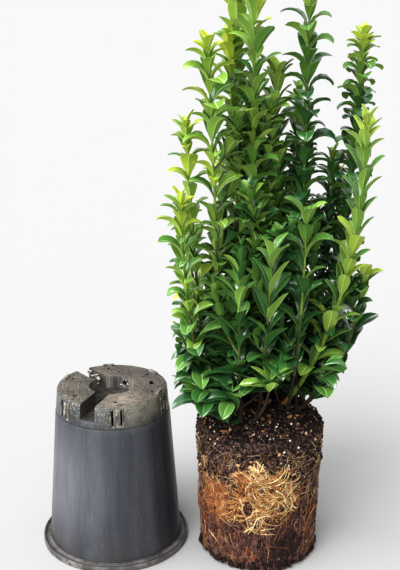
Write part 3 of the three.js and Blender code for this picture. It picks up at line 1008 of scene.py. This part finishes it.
def flakeParts(length, width, rng):
    # a thin, bent flake with an uneven edge
    outline = []
    for turn in turnsRound(8):
        x = length / 2 * math.cos(turn) * rng.uniform(0.8, 1.1)
        outline.append((x, width / 2 * math.sin(turn) * rng.uniform(0.7, 1.2)))
    half = rng.uniform(0.4, 0.9) / 2
    bend = rng.uniform(-0.02, 0.05)
    verts = [(x * 0.94, y * 0.9, bend * x * x - half) for x, y in outline]
    verts += [(x, y, bend * x * x + half) for x, y in outline]
    return np.array(verts), ringFaces(2, 8)


chips = {
    "count": 60,
    "onTop": 0.75,
    "above": 70,
    "length": (3.0, 8.0),
    "slim": (0.25, 0.5),
    "colours": [(186, 144, 100), (112, 78, 52)],
    "placedSlim": 0.36,  # the larger ones in front of the stems: X, Y, length and bearing
    "placedTilt": (8, 24),
    "placedLift": 1.6,
    "placed": [(5, 0, 14, 25), (1, -27, 7, 70), (-6, -16, 9, 120), (24, -20, 8, 40)],
}


def makeChips():
    # flakes of bark on top of the compost and in its upper side
    rng = random.Random(11)
    bag = newBag()
    for _ in range(chips["count"]):
        place = ballSpot(rng, chips["onTop"])
        if place[2] < chips["above"]:
            continue
        length = rng.uniform(*chips["length"])
        verts, faces = flakeParts(length, length * rng.uniform(*chips["slim"]), rng)
        onSide = place[2] < ball["height"] - 6
        outward = Vector((place[0], place[1], 0)).normalized() if onSide else Vector((0, 0, 1))
        askew = Vector((rng.uniform(-0.5, 0.5), rng.uniform(-0.5, 0.5), rng.uniform(-0.3, 0.3)))
        spin = Matrix.Rotation(rng.uniform(0, 6.28), 3, "Z")
        turn = np.array((outward + askew).normalized().to_track_quat("Z", "Y").to_matrix() @ spin)
        putIn(bag, place + verts @ turn.T, faces)
    for x, y, length, bearing in chips["placed"]:
        verts, faces = flakeParts(length, length * chips["placedSlim"], rng)
        tilt = Matrix.Rotation(math.radians(rng.uniform(*chips["placedTilt"])), 3, "X")
        turn = np.array(Matrix.Rotation(math.radians(bearing), 3, "Z") @ tilt)
        z = ball["height"] + moundRise(math.hypot(x, y) / ball["topRadius"]) + chips["placedLift"]
        putIn(bag, np.array([x, y, z]) + verts @ turn.T, faces)
    finish = twoTone("bark_flake", *chips["colours"], (260, 0.35, 0.65), (700, 0.4, 0.2), 0.85, 0.2)
    makePiece("bark_flakes", bag, [finish], sharpDegrees=30)


# roots on the outside of the root ball: branching tangles, then single fine ones
rootLook = {
    "cream": [(234, 214, 168), (184, 150, 100)],
    "golden": [(190, 146, 88), (150, 102, 58)],
    "rust": [(178, 106, 54), (120, 70, 40)],
    "dark": [(134, 95, 83), (74, 47, 42)],
    "grey": [(188, 168, 148), (124, 104, 90)],
}
mainColours = list(rootLook)[:4]  # grey is for the finest alone
tangles = [
    # bearing and height of the middle, half width and half height, main roots, the share of each colour;
    # the roots fan out from forks, and run round a gap: across, up, half width and half height
    {
        "bearing": 270, "height": 71, "wide": 31, "high": 30, "roots": 112, "shares": (7, 4, 1, 0.3),
        "forks": [(-8, 13), (-3, 15), (6, 19), (10, 4), (-15, -9), (2, -14), (17, -2)],
        "gap": (-11, -9, 4, 8),
    },
    {"bearing": 328, "height": 50, "wide": 15, "high": 36, "roots": 16, "shares": (0.6, 2, 0.7, 5)},
    {"bearing": 22, "height": 60, "wide": 22, "high": 30, "roots": 20, "shares": (1, 1, 0.6, 5)},
    {"bearing": 76, "height": 40, "wide": 26, "high": 28, "roots": 20, "shares": (1, 3, 2, 3)},
    {"bearing": 138, "height": 62, "wide": 26, "high": 36, "roots": 30, "shares": (3, 3, 2, 1)},
    {"bearing": 196, "height": 46, "wide": 20, "high": 32, "roots": 16, "shares": (1, 2, 3, 3)},
]
branching = {
    "step": 1.7,
    "length": (18, 50),
    "radius": (0.28, 0.72),
    "every": 5.5,  # steps from one branch to the next
    "shorter": (0.35, 0.65),
    "thinner": 0.68,
    "levels": 2,
}
fineRoots = {
    # how many, their length and thickness, the share that sprawls, and the share of each colour
    "fuzz": (240, (10, 26), (0.12, 0.26), 0.1, (0.2, 2, 5, 0.5)),
    "threads": (820, (16, 60), (0.1, 0.26), 0.12, (0.4, 1.0, 0.7, 7)),
    "beard": (560, (10, 30), (0.14, 0.32), 0.08, (0, 0.3, 0.4, 6)),
    "wisps": (310, (8, 34), (0.1, 0.19), 1.0, (4, 2, 0.5, 1)),
    "fibres": (620, (8, 18), (0.08, 0.15), 0.9, None),  # these are grey
}
fuzz = {"bearing": 225, "spread": 9, "height": 60, "high": 9}  # a rusty patch on the left
bareSoil = {"bearing": 294, "wide": 16, "below": 40}  # with hardly any roots, low on the right


def edgeShare(tangle, u, v):
    # 1 at the uneven edge of a tangle
    way = math.atan2(v, u)
    uneven = 1 + 0.5 * noise.noise(Vector((1.9 * math.cos(way), 1.9 * math.sin(way), tangle["bearing"])))
    return math.hypot(u / tangle["wide"], v / tangle["high"]) / uneven


def growRoot(tangle, rng, start, heading, length, radius, level, found):
    # a root that wanders over the root ball and branches as it goes
    u, v, lift = start
    bend, climb = 0.0, rng.uniform(-0.12, 0.14)
    points = []
    for i in range(int(length / branching["step"])):
        z = tangle["height"] + v
        if not 1.5 < z < ball["height"] - 7:
            break
        edge = edgeShare(tangle, u, v)
        points.append(surfacePlace(math.radians(tangle["bearing"]) + u / ball["footRadius"], z, lift))
        bend = lerp(bend, rng.gauss(0, 0.26), 0.34)
        heading += bend
        if edge > 1.1:
            break
        u += math.cos(heading) * branching["step"]
        v += math.sin(heading) * branching["step"]
        if "gap" in tangle:
            gapU, gapV, gapWide, gapHigh = tangle["gap"]
            near = math.hypot((u - gapU) / gapWide, (v - gapV) / gapHigh)
            if near < 1:
                u, v = gapU + (u - gapU) / max(near, 0.2), gapV + (v - gapV) / max(near, 0.2)
        lift = clamp(lift + climb + rng.gauss(0, 0.14), 0.3, 0.5 + 4.2 * clamp(1.15 - edge))
        if level and i > 1 and rng.random() < 1 / branching["every"]:
            turn = heading + rng.choice((-1, 1)) * rng.uniform(0.5, 1.25)
            shorter = length * rng.uniform(*branching["shorter"])
            thinner = radius * branching["thinner"]
            growRoot(tangle, rng, (u, v, lift), turn, shorter, thinner, level - 1, found)
    found.append((points, radius, u / tangle["wide"], level))


def growTangle(tangle, rng, bags):
    found = []
    spread = (tangle["wide"] / 2, tangle["high"] / 2)
    forks = tangle.get("forks") or [[rng.gauss(0, s) for s in spread] for _ in range(5)]
    for _ in range(tangle["roots"]):
        u, v = (c + rng.gauss(0, 3) for c in rng.choice(forks))
        radius = lerp(*branching["radius"], rng.random() ** 1.8)
        length = rng.uniform(*branching["length"])
        start = (u, v, rng.uniform(0.3, 2.6))
        growRoot(tangle, rng, start, rng.uniform(0, 6.28), length, radius, branching["levels"], found)
    cream, golden, rust, dark = tangle["shares"]
    for points, radius, left, level in found:  # last branches and the left edge are rustier
        weights = (cream, golden, rust, dark) if level else (0.5 * cream, golden, rust + 1, dark)
        if left < -0.55:
            weights = (0.4 * cream, golden, rust + 2.5, dark)
        putRoot(bags[rng.choices(mainColours, weights)[0]], points, radius, rng)


def hangDown(rng, turn, z, length, sprawl):
    # a fine root that runs down the side, or anywhere if it sprawls
    step = 2.2
    heading = -math.pi / 2 + rng.gauss(0, 0.35) if rng.random() > sprawl else rng.uniform(0, 6.28)
    points = []
    bend = 0.0
    for i in range(int(length / step)):
        lift = crumble(surfacePlace(turn, z)) * 0.6 + 0.5 + 0.3 * math.sin(i * 0.8)
        points.append(surfacePlace(turn, z, max(lift, 0.1)))
        bend = lerp(bend, rng.gauss(0, 0.22), 0.4)
        heading += bend
        turn += math.cos(heading) * step / ball["footRadius"]
        z += math.sin(heading) * step
        if not 1.0 < z < ball["height"] - 4:
            break
    return points


def putRoot(bag, points, radius, rng, sides=5):
    if len(points) < 4:
        return
    uneven = np.array([rng.uniform(0.88, 1.12) for _ in points])
    putIn(bag, *tubeParts(points, radius * np.linspace(1.0, 0.5, len(points)) * uneven, sides))


def rootStart(kind, rng):
    # bearing and height at which a fine root starts
    if kind == "fuzz":
        turn = math.radians(fuzz["bearing"] + rng.gauss(0, fuzz["spread"]))
        return turn, fuzz["height"] + rng.gauss(8, fuzz["high"])
    if kind == "threads":
        return rng.uniform(0, fullTurn), ball["height"] * rng.betavariate(1.25, 1.9)
    if kind == "beard":
        return rng.uniform(0, fullTurn), rng.uniform(8, 42)
    # wisps and fibres lie in the upper half
    z = rng.uniform(66, ball["height"] - 6) if kind == "wisps" else rng.uniform(58, ball["height"] - 5)
    return rng.uniform(0, fullTurn), z


def onBareSoil(turn, z):
    return z < bareSoil["below"] and abs(math.degrees(turn) % 360 - bareSoil["bearing"]) < bareSoil["wide"]


def makeRoots():
    rng = random.Random(23)
    bags = {name: newBag() for name in rootLook}
    for tangle in tangles:
        growTangle(tangle, rng, bags)
    for kind, (count, length, radius, sprawl, shares) in fineRoots.items():
        for _ in range(count):
            tint = "grey" if kind == "fibres" else None
            if kind == "threads":
                tint = rng.choices(mainColours, shares)[0]
            turn, z = rootStart(kind, rng)
            if kind == "beard" and onBareSoil(turn, z) and rng.random() < 0.92:
                continue
            points = hangDown(rng, turn, z, rng.uniform(*length), sprawl)
            if kind == "threads":
                points = [p for p in points if not onBareSoil(math.atan2(p[1], p[0]), p[2])]
            tint = tint or rng.choices(mainColours, shares)[0]
            putRoot(bags[tint], points, rng.uniform(*radius), rng, 4 if kind == "fibres" else 5)
    for name, colours in rootLook.items():
        finish = twoTone(f"root_{name}", *colours, (190, 0.38, 0.64), (1300, 0.3, 0.08), 0.62, 0.35)
        makePiece(f"roots_{name}", bags[name], [finish], sharpDegrees=0)


def makeCompostFinish():
    soil = Finish("compost_face", roughness=0.94, shine=0.2)
    dark = (21, 16, 15)
    reddish = soil.product(soil.atHeight(88, 24), soil.mask(170, 0.34, 0.66, 0.3))  # fine roots low down
    front = surfacePlace(math.radians(tangles[0]["bearing"]), tangles[0]["height"])
    felt = soil.product(soil.nearTo(front, 18, 36), soil.mask(240, 0.34, 0.64))  # under the tangle in front
    left = surfacePlace(math.radians(fuzz["bearing"]), fuzz["height"])
    orange = soil.product(soil.nearTo(left, 6, 22), soil.mask(200, 0.3, 0.6, 0.3))
    black = surfacePlace(math.radians(bareSoil["bearing"]), bareSoil["below"] / 2)
    soil.layered(
        dark,
        ((80, 61, 55), (260, 0.45, 0.62)),
        ((122, 100, 88), (620, 0.54, 0.66), 0.75),
        ((66, 43, 41), reddish),
        ((62, 39, 28), felt),
        ((160, 98, 50), orange),
        (dark, soil.nearTo(black, 5, 24), 0.6),
        ((168, 146, 118), (1000, 0.66, 0.76)),
    )
    soil.relief(900, 0.8, 0.5, 0.8)
    return soil.material


def makeRootBall():
    makeCompost(makeCompostFinish())
    makeCrumbs()
    makeChips()
    makeRoots()


# the pot, upside down
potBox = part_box("pot")
pot = {
    "centre": ((potBox[0][0] + potBox[1][0]) / 2 / mm, (potBox[0][1] + potBox[1][1]) / 2 / mm),
    "height": potBox[1][2] / mm,
    "rimRadius": (potBox[1][0] - potBox[0][0]) / 2 / mm,
    "mouthRadius": 58.8,
    "baseRadius": 48.3,
    "wall": 1.8,
    "bevel": 0.6,
    "rimHeight": 6,
    "stepHeight": 20,
    "stepDepth": 0.5,
    "around": 160,
    "recessRadius": 20,
    "recessDepth": 11,
    "channelWidth": 13,
    "channelDepth": 13.5,
    "channelBearings": (129, 249),
    "slotBearings": tuple(range(39, 399, 60)),
    "slotTop": 3,  # below the foot
    "slotLength": 13.5,
    "slotWidth": 1.6,
    "slotGap": 7.4,
    "slotReach": (44, 56),
    "drainHole": (38, 1.6),  # how far out, and radius
    "holeDepth": 4,
    "ventBearing": 9,
    "starBearing": 62,
    "starRadius": 3.4,
    "ribBearings": (76, 84, 92, 100, 108, 150, 162, 174, 186, 198, 20, 32, 8),
}
potMiddle = np.array([*pot["centre"], 0])


def solidFrom(verts, faces, name):
    mesh = bpy.data.meshes.new(name)
    mesh.from_pydata([tuple(np.array(v) * mm) for v in verts], [], faces)
    form = bmesh.new()
    form.from_mesh(mesh)
    bmesh.ops.recalc_face_normals(form, faces=form.faces)
    form.to_mesh(mesh)
    form.free()
    solid = bpy.data.objects.new(name, mesh)
    bpy.context.scene.collection.objects.link(solid)
    return solid


def circle(radius, sides, out=0.0):
    return [(out + radius * math.cos(turn), radius * math.sin(turn)) for turn in turnsRound(sides)]


def turnedVerts(profile, sides):
    return [(x, y, z) for radius, z in profile for x, y in circle(radius, sides)]


def turnedSolid(profile, name):
    sides = pot["around"]
    return solidFrom(turnedVerts(profile, sides), ringFaces(len(profile), sides), name)


def prismSolid(outline, low, high, name):
    # upright prism over an outline
    verts = [(x, y, z) for z in (low, high) for x, y in outline]
    return solidFrom(verts, ringFaces(2, len(outline)), name)


def turnedOutline(outline, bearing):
    turn = math.radians(bearing)
    c, s = math.cos(turn), math.sin(turn)
    return [(x * c - y * s, x * s + y * c) for x, y in outline]


def combine(target, tool, operation):
    change = target.modifiers.new("cut", "BOOLEAN")
    change.operation = operation
    change.solver = "EXACT"
    change.object = tool
    settle(target)
    mesh = tool.data
    bpy.data.objects.remove(tool)
    bpy.data.meshes.remove(mesh)
    return target


def settle(target):
    # apply what modifiers a piece has
    graph = bpy.context.evaluated_depsgraph_get()
    result = bpy.data.meshes.new_from_object(target.evaluated_get(graph))
    target.modifiers.clear()
    target.data = result


def potWall(z):
    # outer radius of the stepped wall near the foot
    atStep = lerp(pot["baseRadius"], pot["mouthRadius"], pot["stepHeight"] / pot["height"])
    return lerp(pot["baseRadius"], atStep, (pot["height"] - z) / pot["stepHeight"]) - pot["stepDepth"]


def potBody(inset, name):
    # outside of the pot with its rolled rim, or its inside set in by the wall
    top, stepZ = pot["height"] - inset, pot["height"] - pot["stepHeight"]
    atStep = potWall(stepZ) + pot["stepDepth"] - inset
    atTop = potWall(pot["height"]) - inset
    mouth = pot["mouthRadius"] - inset
    rim, lip = pot["rimRadius"], pot["rimHeight"]
    profile, groove = [(mouth, -1.0)], 0
    if not inset:
        groove = 0.5
        profile = [(rim - 1.0, 0), (rim - 0.25, 0.4), (rim, 1.3), (rim, lip - 1.2), (rim - 0.35, lip - 0.3)]
        profile += [(rim - 1.0, lip), (rim - 1.8, lip - 0.3), (rim - 2.2, lip - 1.3)]
        profile += [(rim - 2.8, lip - 2.0), (mouth + 1.4, lip - 2.2)]
        profile += [(mouth + 0.4, lip - 1.6), (mouth - 0.1, lip)]
    sunk = atStep - pot["stepDepth"] - groove
    profile += [(atStep + 0.05, stepZ - 0.9), (atStep - 0.1, stepZ - 0.5), (sunk, stepZ - 0.35)]
    profile += [(sunk, stepZ + 0.25), (atStep - pot["stepDepth"], stepZ + 0.5)]
    profile += [(atTop, top - 1.6), (atTop - 0.45, top - 0.5), (atTop - 1.5, top)]
    return turnedSolid(profile, name)


def footHollow(grow, name):
    # the recess in the foot and the channels that lead out of it
    top, over = pot["height"], pot["height"] + 2
    hollow = prismSolid(circle(pot["recessRadius"] + grow, 48), top - pot["recessDepth"] - grow, over, name)
    reach, half = pot["baseRadius"] + 6, pot["channelWidth"] / 2 + grow
    for bearing in pot["channelBearings"]:
        outline = [(-3, -half), (reach, -half * 1.06), (reach, half * 1.06), (-3, half)]
        floor = top - pot["channelDepth"] - grow
        combine(hollow, prismSolid(turnedOutline(outline, bearing), floor, over, "channel"), "UNION")
    return hollow


def cutHoles(shell):
    top = pot["height"]

    def cut(outline, bearing, low, high):
        combine(shell, prismSolid(turnedOutline(outline, bearing), low, high, "hole"), "DIFFERENCE")

    high, half = top - pot["slotTop"], pot["slotWidth"] / 2
    near, far = pot["slotReach"]
    out, radius = pot["drainHole"]
    through = (top - pot["holeDepth"], top + 1)
    for bearing in pot["slotBearings"]:
        for y in (-pot["slotGap"] / 2, pot["slotGap"] / 2):
            slot = [(near, y - half), (far, y - half), (far, y + half), (near, y + half)]
            cut(slot, bearing, high - pot["slotLength"], high)
        cut(circle(radius, 12, out), bearing, *through)
    moon = [(32.5, -4.2), (35.4, -4.2), (36.2, -2), (36.5, 0), (36.2, 2), (35.4, 4.2), (32.5, 4.2)]
    cut(moon, pot["ventBearing"], *through)
    combine(shell, starTool(), "DIFFERENCE")


def starTool():
    # six-pointed drain hole through the wall of the recess
    points = []
    for k in range(12):
        reach = pot["starRadius"] * (1 if k % 2 == 0 else 0.42)
        points.append((reach * math.cos(k * math.pi / 6), reach * math.sin(k * math.pi / 6)))
    star = prismSolid(points, -4, 4, "star")
    middle = pot["height"] - pot["recessDepth"] / 2
    turn = Matrix.Rotation(math.radians(pot["starBearing"]), 4, "Z") @ Matrix.Rotation(math.pi / 2, 4, "Y")
    out = turn @ Vector((0, 0, pot["recessRadius"] + 1))
    star.data.transform(Matrix.Translation((out + Vector((0, 0, middle))) * mm) @ turn)
    return star


def potPlace(bearing, out, z):
    turn = math.radians(bearing)
    return potMiddle + np.array([out * math.cos(turn), out * math.sin(turn), z])


trim = {
    "sunk": 0.7,  # how deep the bars round the slots stand in the wall, and how far they stand out
    "proud": 0.5,
    "bars": ((-5.4, 1.2), (0, 3.0), (5.4, 1.2)),  # across, and width
    "sill": 12.0,
    "lug": [(43.2, -5), (45.6, -5), (45.6, 5), (43.2, 5)],  # for stacking
    "lugEnds": (-1, 1.5),
    "rib": 0.8,
    "point": [(2.6, -0.2), (2.4, 0.7), (1.2, 0.9), (0.3, 0.9)],  # where the plastic ran in
}


def barParts(bearing, low, high, across, width):
    # an upright bar on the outside of the wall, narrower in front
    verts = []
    for z in (low, high):
        inner, outer = potWall(z) - trim["sunk"], potWall(z) + trim["proud"]
        for r, a in ((inner, 1), (outer, 0.7), (outer, -0.7), (inner, -1)):
            verts.append((*turnedOutline([(r, across + a * width / 2)], bearing)[0], z))
    return np.array(verts) + potMiddle, ringFaces(2, 4)


shreds = {
    "atChannel": 11,  # how many, and how far out, aside and below the foot
    "out": (29, 45),
    "aside": (4.4, 6.2),
    "below": (1.5, 10),
    "length": (2.6, 5.5),
    "atStar": 8,
    "starReach": (0.9, 1.3),
    "starLength": (1.4, 2.6),
    "slim": (0.3, 0.6),
    "colours": ((204, 201, 193), (118, 115, 108)),
}


def makeTornPlastic():
    # pale shreds at the mouth of the channel behind and round the star-shaped hole
    rng = random.Random(8)
    top = pot["height"]
    spots = []
    for _ in range(shreds["atChannel"]):
        out, across = rng.uniform(*shreds["out"]), rng.uniform(*shreds["aside"])
        place = turnedOutline([(out, -across)], pot["channelBearings"][0])[0]
        spots.append(((*place, top - rng.uniform(*shreds["below"])), rng.uniform(*shreds["length"])))
    for _ in range(shreds["atStar"]):
        turn = rng.uniform(0, fullTurn)
        reach = pot["starRadius"] * rng.uniform(*shreds["starReach"])
        place = turnedOutline([(pot["recessRadius"] - 0.5, reach * math.cos(turn))], pot["starBearing"])[0]
        z = top - pot["recessDepth"] / 2 + reach * math.sin(turn)
        spots.append(((*place, z), rng.uniform(*shreds["starLength"])))
    bag = newBag()
    for place, length in spots:
        verts, faces = flakeParts(length, length * rng.uniform(*shreds["slim"]), rng)
        way = Vector([rng.uniform(-1, 1) for _ in range(3)])
        turn = np.array(way.to_track_quat("Z", "Y").to_matrix())
        putIn(bag, np.array(place) + potMiddle + verts @ turn.T, faces)
    finish = twoTone("torn_plastic", *shreds["colours"], (420, 0.4, 0.64), (900, 0.4, 0.1), 0.5)
    makePiece("pot_torn_plastic", bag, [finish], sharpDegrees=30)


def makePotTrim(worn, wall):
    # frames round the slots, stacking lugs, ribs in the recess and the moulding point on its floor
    frames, ribs = newBag(), newBag()
    top, floor = pot["height"], pot["height"] - pot["recessDepth"]
    low = top - pot["slotTop"] - pot["slotLength"]
    for bearing in pot["slotBearings"]:
        for across, width in trim["bars"]:
            putIn(frames, *barParts(bearing, low - 0.4, top - 2.6, across, width))
        putIn(frames, *barParts(bearing, low - 1.5, low - 0.2, 0, trim["sill"]))
        outline = turnedOutline(trim["lug"], bearing)
        lug = np.array([(x, y, top + z) for z in trim["lugEnds"] for x, y in outline])
        putIn(ribs, lug + potMiddle, ringFaces(2, 4))
    for bearing in pot["ribBearings"]:
        heights = np.linspace(floor - 0.3, top - 0.6, 4)
        points = [potPlace(bearing, pot["recessRadius"] + 0.3, z) for z in heights]
        putIn(ribs, *tubeParts(points, [trim["rib"]] * 4, 8))
    faces = ringFaces(len(trim["point"]), 16)
    del faces[-2]  # its underside
    putIn(ribs, np.array(turnedVerts(trim["point"], 16)) + potMiddle + (0, 0, floor), faces)
    makePiece("pot_slot_frames", frames, [worn], sharpDegrees=35)
    makePiece("pot_foot_ribs", ribs, [wall], sharpDegrees=40)


potLook = {
    # first colour, layers over it by colour and patches, relief, roughness and shine
    "plastic_worn_edge": (
        (72, 70, 65), [((182, 174, 154), (230, 0.46, 0.68)), ((58, 56, 50), (120, 0.5, 0.62))],
        (900, 0.4, 0.1), 0.6, 0.4,
    ),
    # painted shade: the dark floors of the foot's hollows, with dirt patches over it
    "hollow_floor_painted_shade": (
        (46, 44, 43), [((78, 74, 69), (110, 0.36, 0.66)), ((124, 118, 108), (700, 0.62, 0.74))],
        (700, 0.6, 0.2, 0.7), 0.85, 0.25,
    ),
    "sunk_wall": (
        (66, 65, 65), [((136, 133, 126), (160, 0.36, 0.62, 0.12))],
        (800, 0.4, 0.12, 0.6), 0.6, 0.4,
    ),
    "rim_dirt": (
        (74, 73, 75), [((118, 115, 113), (60, 0.36, 0.64)), ((72, 64, 58), (150, 0.5, 0.64))],
        (800, 0.4, 0.1, 0.5), 0.5, 0.45,
    ),
}


def makePotFinishes():
    top = pot["height"]
    plastic = Finish("nursery_plastic", shine=0.55)
    paintedSheen = plastic.nearTo(potPlace(212, 56, 70), 18, 62)  # painted sheen: the left side is lighter, where the light falls
    specks = plastic.product(plastic.atHeight(top - 22, top - 4), plastic.mask(760, 0.5, 0.64))
    splash = plastic.product(plastic.atHeight(34, 5), plastic.mask(90, 0.42, 0.62))
    soiled = plastic.nearTo(potPlace(306, pot["baseRadius"], top - 5), 12, 48)  # most dirt is here
    film = plastic.product(soiled, plastic.atHeight(top - 26, top - 8))
    plastic.layered(
        (40, 42, 49),
        # painted reflections: broad upright bands of paler grey, then finer dark streaks
        ((63, 65, 72), (34, 0.36, 0.64, 0.05)),
        # painted sheen over the left side
        ((104, 105, 110), paintedSheen, 0.6),
        ((32, 34, 44), (120, 0.52, 0.66, 0.03), 0.35),  # painted reflection streaks
        ((134, 134, 136), (900, 0.6, 0.72, 0.02), 0.25),  # scratches
        ((58, 53, 49), splash),
        ((114, 111, 100), plastic.product(film, plastic.mask(90, 0.34, 0.56))),
        ((150, 147, 134), specks, 0.9),
    )
    plastic.feed("Roughness", plastic.between(0.28, 0.46, plastic.mask(140, 0.35, 0.65, 0.2)))
    plastic.relief(900, 0.3, 0.06, 0.4)

    foot = Finish("foot_dust", roughness=0.82, shine=0.3)
    rubbed = foot.product(foot.nearTo(potPlace(288, 34, top), 6, 26), foot.mask(150, 0.36, 0.6))
    foot.layered(
        (70, 67, 64),
        ((104, 98, 90), (60, 0.36, 0.64)),
        ((92, 76, 64), (110, 0.52, 0.66), 0.7),
        ((52, 49, 47), (420, 0.52, 0.64), 0.8),
        ((142, 131, 118), rubbed),
        ((166, 159, 146), (780, 0.53, 0.66), 0.75),
    )
    foot.relief(800, 0.7, 0.25, 0.7)
    # sunk is the dark finish of the hollows, painted shade
    worn, sunk, wall, rim = (coated(name, *look) for name, look in potLook.items())
    return [plastic.material, worn, foot.material, sunk, wall, rim]


def dealFinishes(shell):
    # dust on the upturned foot; painted shade: darker floors in its hollows and darker walls in its
    # channels; paler walls in the recess
    top = pot["height"]
    middle = Vector((*pot["centre"], 0))
    for face in shell.data.polygons:
        place = face.center / mm - middle
        out = math.hypot(place.x, place.y)
        if place.z < pot["rimHeight"] - 0.2 and out > pot["mouthRadius"] - 0.5:
            face.material_index = 5
        if face.material_index or place.z < top - pot["channelDepth"] - 1 or out > potWall(place.z) - 0.8:
            continue
        if face.normal.z > 0.7:
            face.material_index = 2 if place.z > top - 2.5 else 3
        elif abs(face.normal.z) < 0.3:
            # the channel walls take the dark floor finish as painted shade
            face.material_index = 4 if out < pot["recessRadius"] + 1 else 3


def makePot():
    finishes = makePotFinishes()
    shell = combine(potBody(0, "pot_shell"), footHollow(0, "hollow"), "DIFFERENCE")
    inside = combine(potBody(pot["wall"], "inside"), footHollow(pot["wall"], "hollow"), "DIFFERENCE")
    combine(shell, inside, "DIFFERENCE")
    cutHoles(shell)
    shell.data.transform(Matrix.Translation(Vector((*pot["centre"], 0)) * mm))
    shell.data.materials.clear()
    for finish in finishes:
        shell.data.materials.append(finish)
    bevel = shell.modifiers.new("edge", "BEVEL")
    bevel.width = pot["bevel"] * mm
    bevel.segments = 2
    bevel.limit_method = "ANGLE"
    bevel.angle_limit = math.radians(50)
    bevel.material = 1
    settle(shell)
    dealFinishes(shell)
    shell.data.shade_smooth()
    shell.data.set_sharp_from_angle(angle=math.radians(35))
    handOver(shell, ["pot"])
    makePotTrim(finishes[1], finishes[4])
    makeTornPlastic()


# floor, light and camera
def makeFloor():
    bpy.ops.mesh.primitive_circle_add(vertices=96, radius=40, fill_type="NGON", location=(0, 0, 0))
    floor = bpy.context.object
    floor.name = "floor"
    finish = Finish("white_floor", roughness=1.0, shine=0.0)
    finish.set("Base Color", (0.436, 0.436, 0.436, 1))
    floor.data.materials.append(finish.material)


light = {
    "sky": 0.67,
    "backdrop": 0.665,
    # soft lamps: where they stand, strength and softness in degrees
    "key": ((-0.55, -1.1, 1.65), 2.15, 34),
    "left": ((-1.5, -0.25, 0.5), 2.7, 60),
    "front": ((-0.75, -1.6, 0.4), 0.74, 34),
}


def makeLight():
    world = bpy.data.worlds.new("studio")
    world.use_nodes = True
    tree = world.node_tree
    surroundings = tree.nodes["Background"].inputs
    surroundings["Color"].default_value = (1.0, 1.0, 1.0, 1)
    seen = addNode(tree, "LightPath", {}).outputs["Is Camera Ray"]  # seen directly, as pale as the floor
    levels = {"To Min": light["sky"], "To Max": light["backdrop"], "Value": seen}
    tree.links.new(addNode(tree, "MapRange", levels).outputs["Result"], surroundings["Strength"])
    bpy.context.scene.world = world
    for name in ("key", "left", "front"):
        place, power, soft = light[name]
        data = bpy.data.lights.new(name, "SUN")
        data.energy = power
        data.angle = math.radians(soft)
        lamp = bpy.data.objects.new(name, data)
        lamp.rotation_euler = (-Vector(place)).to_track_quat("-Z", "Y").to_euler()
        bpy.context.scene.collection.objects.link(lamp)


view = {"place": (-0.0516, -0.7921, 0.4886), "down": 17.36, "lens": 63.21, "exposure": 0.5, "gamma": 0.82}


def makeCamera():
    data = bpy.data.cameras.new("camera")
    data.lens = view["lens"]
    data.sensor_width = 36
    camera = bpy.data.objects.new("camera", data)
    camera.location = view["place"]
    camera.rotation_euler = (math.radians(90 - view["down"]), 0, 0)
    bpy.context.scene.collection.objects.link(camera)
    bpy.context.scene.camera = camera
    look = bpy.context.scene.view_settings
    look.view_transform = "Standard"
    look.exposure = view["exposure"]
    look.gamma = view["gamma"]


makeCamera()
makeLight()
makeFloor()
print("stage set")
shootCurves = shootLines()
sideCurves = sideLines(shootCurves)
makeTwigs(shootCurves, sideCurves)
makeFoliage(shootCurves, sideCurves)
print("plant grown")
makeRootBall()
print("root ball made")
makePot()
print("pot made")
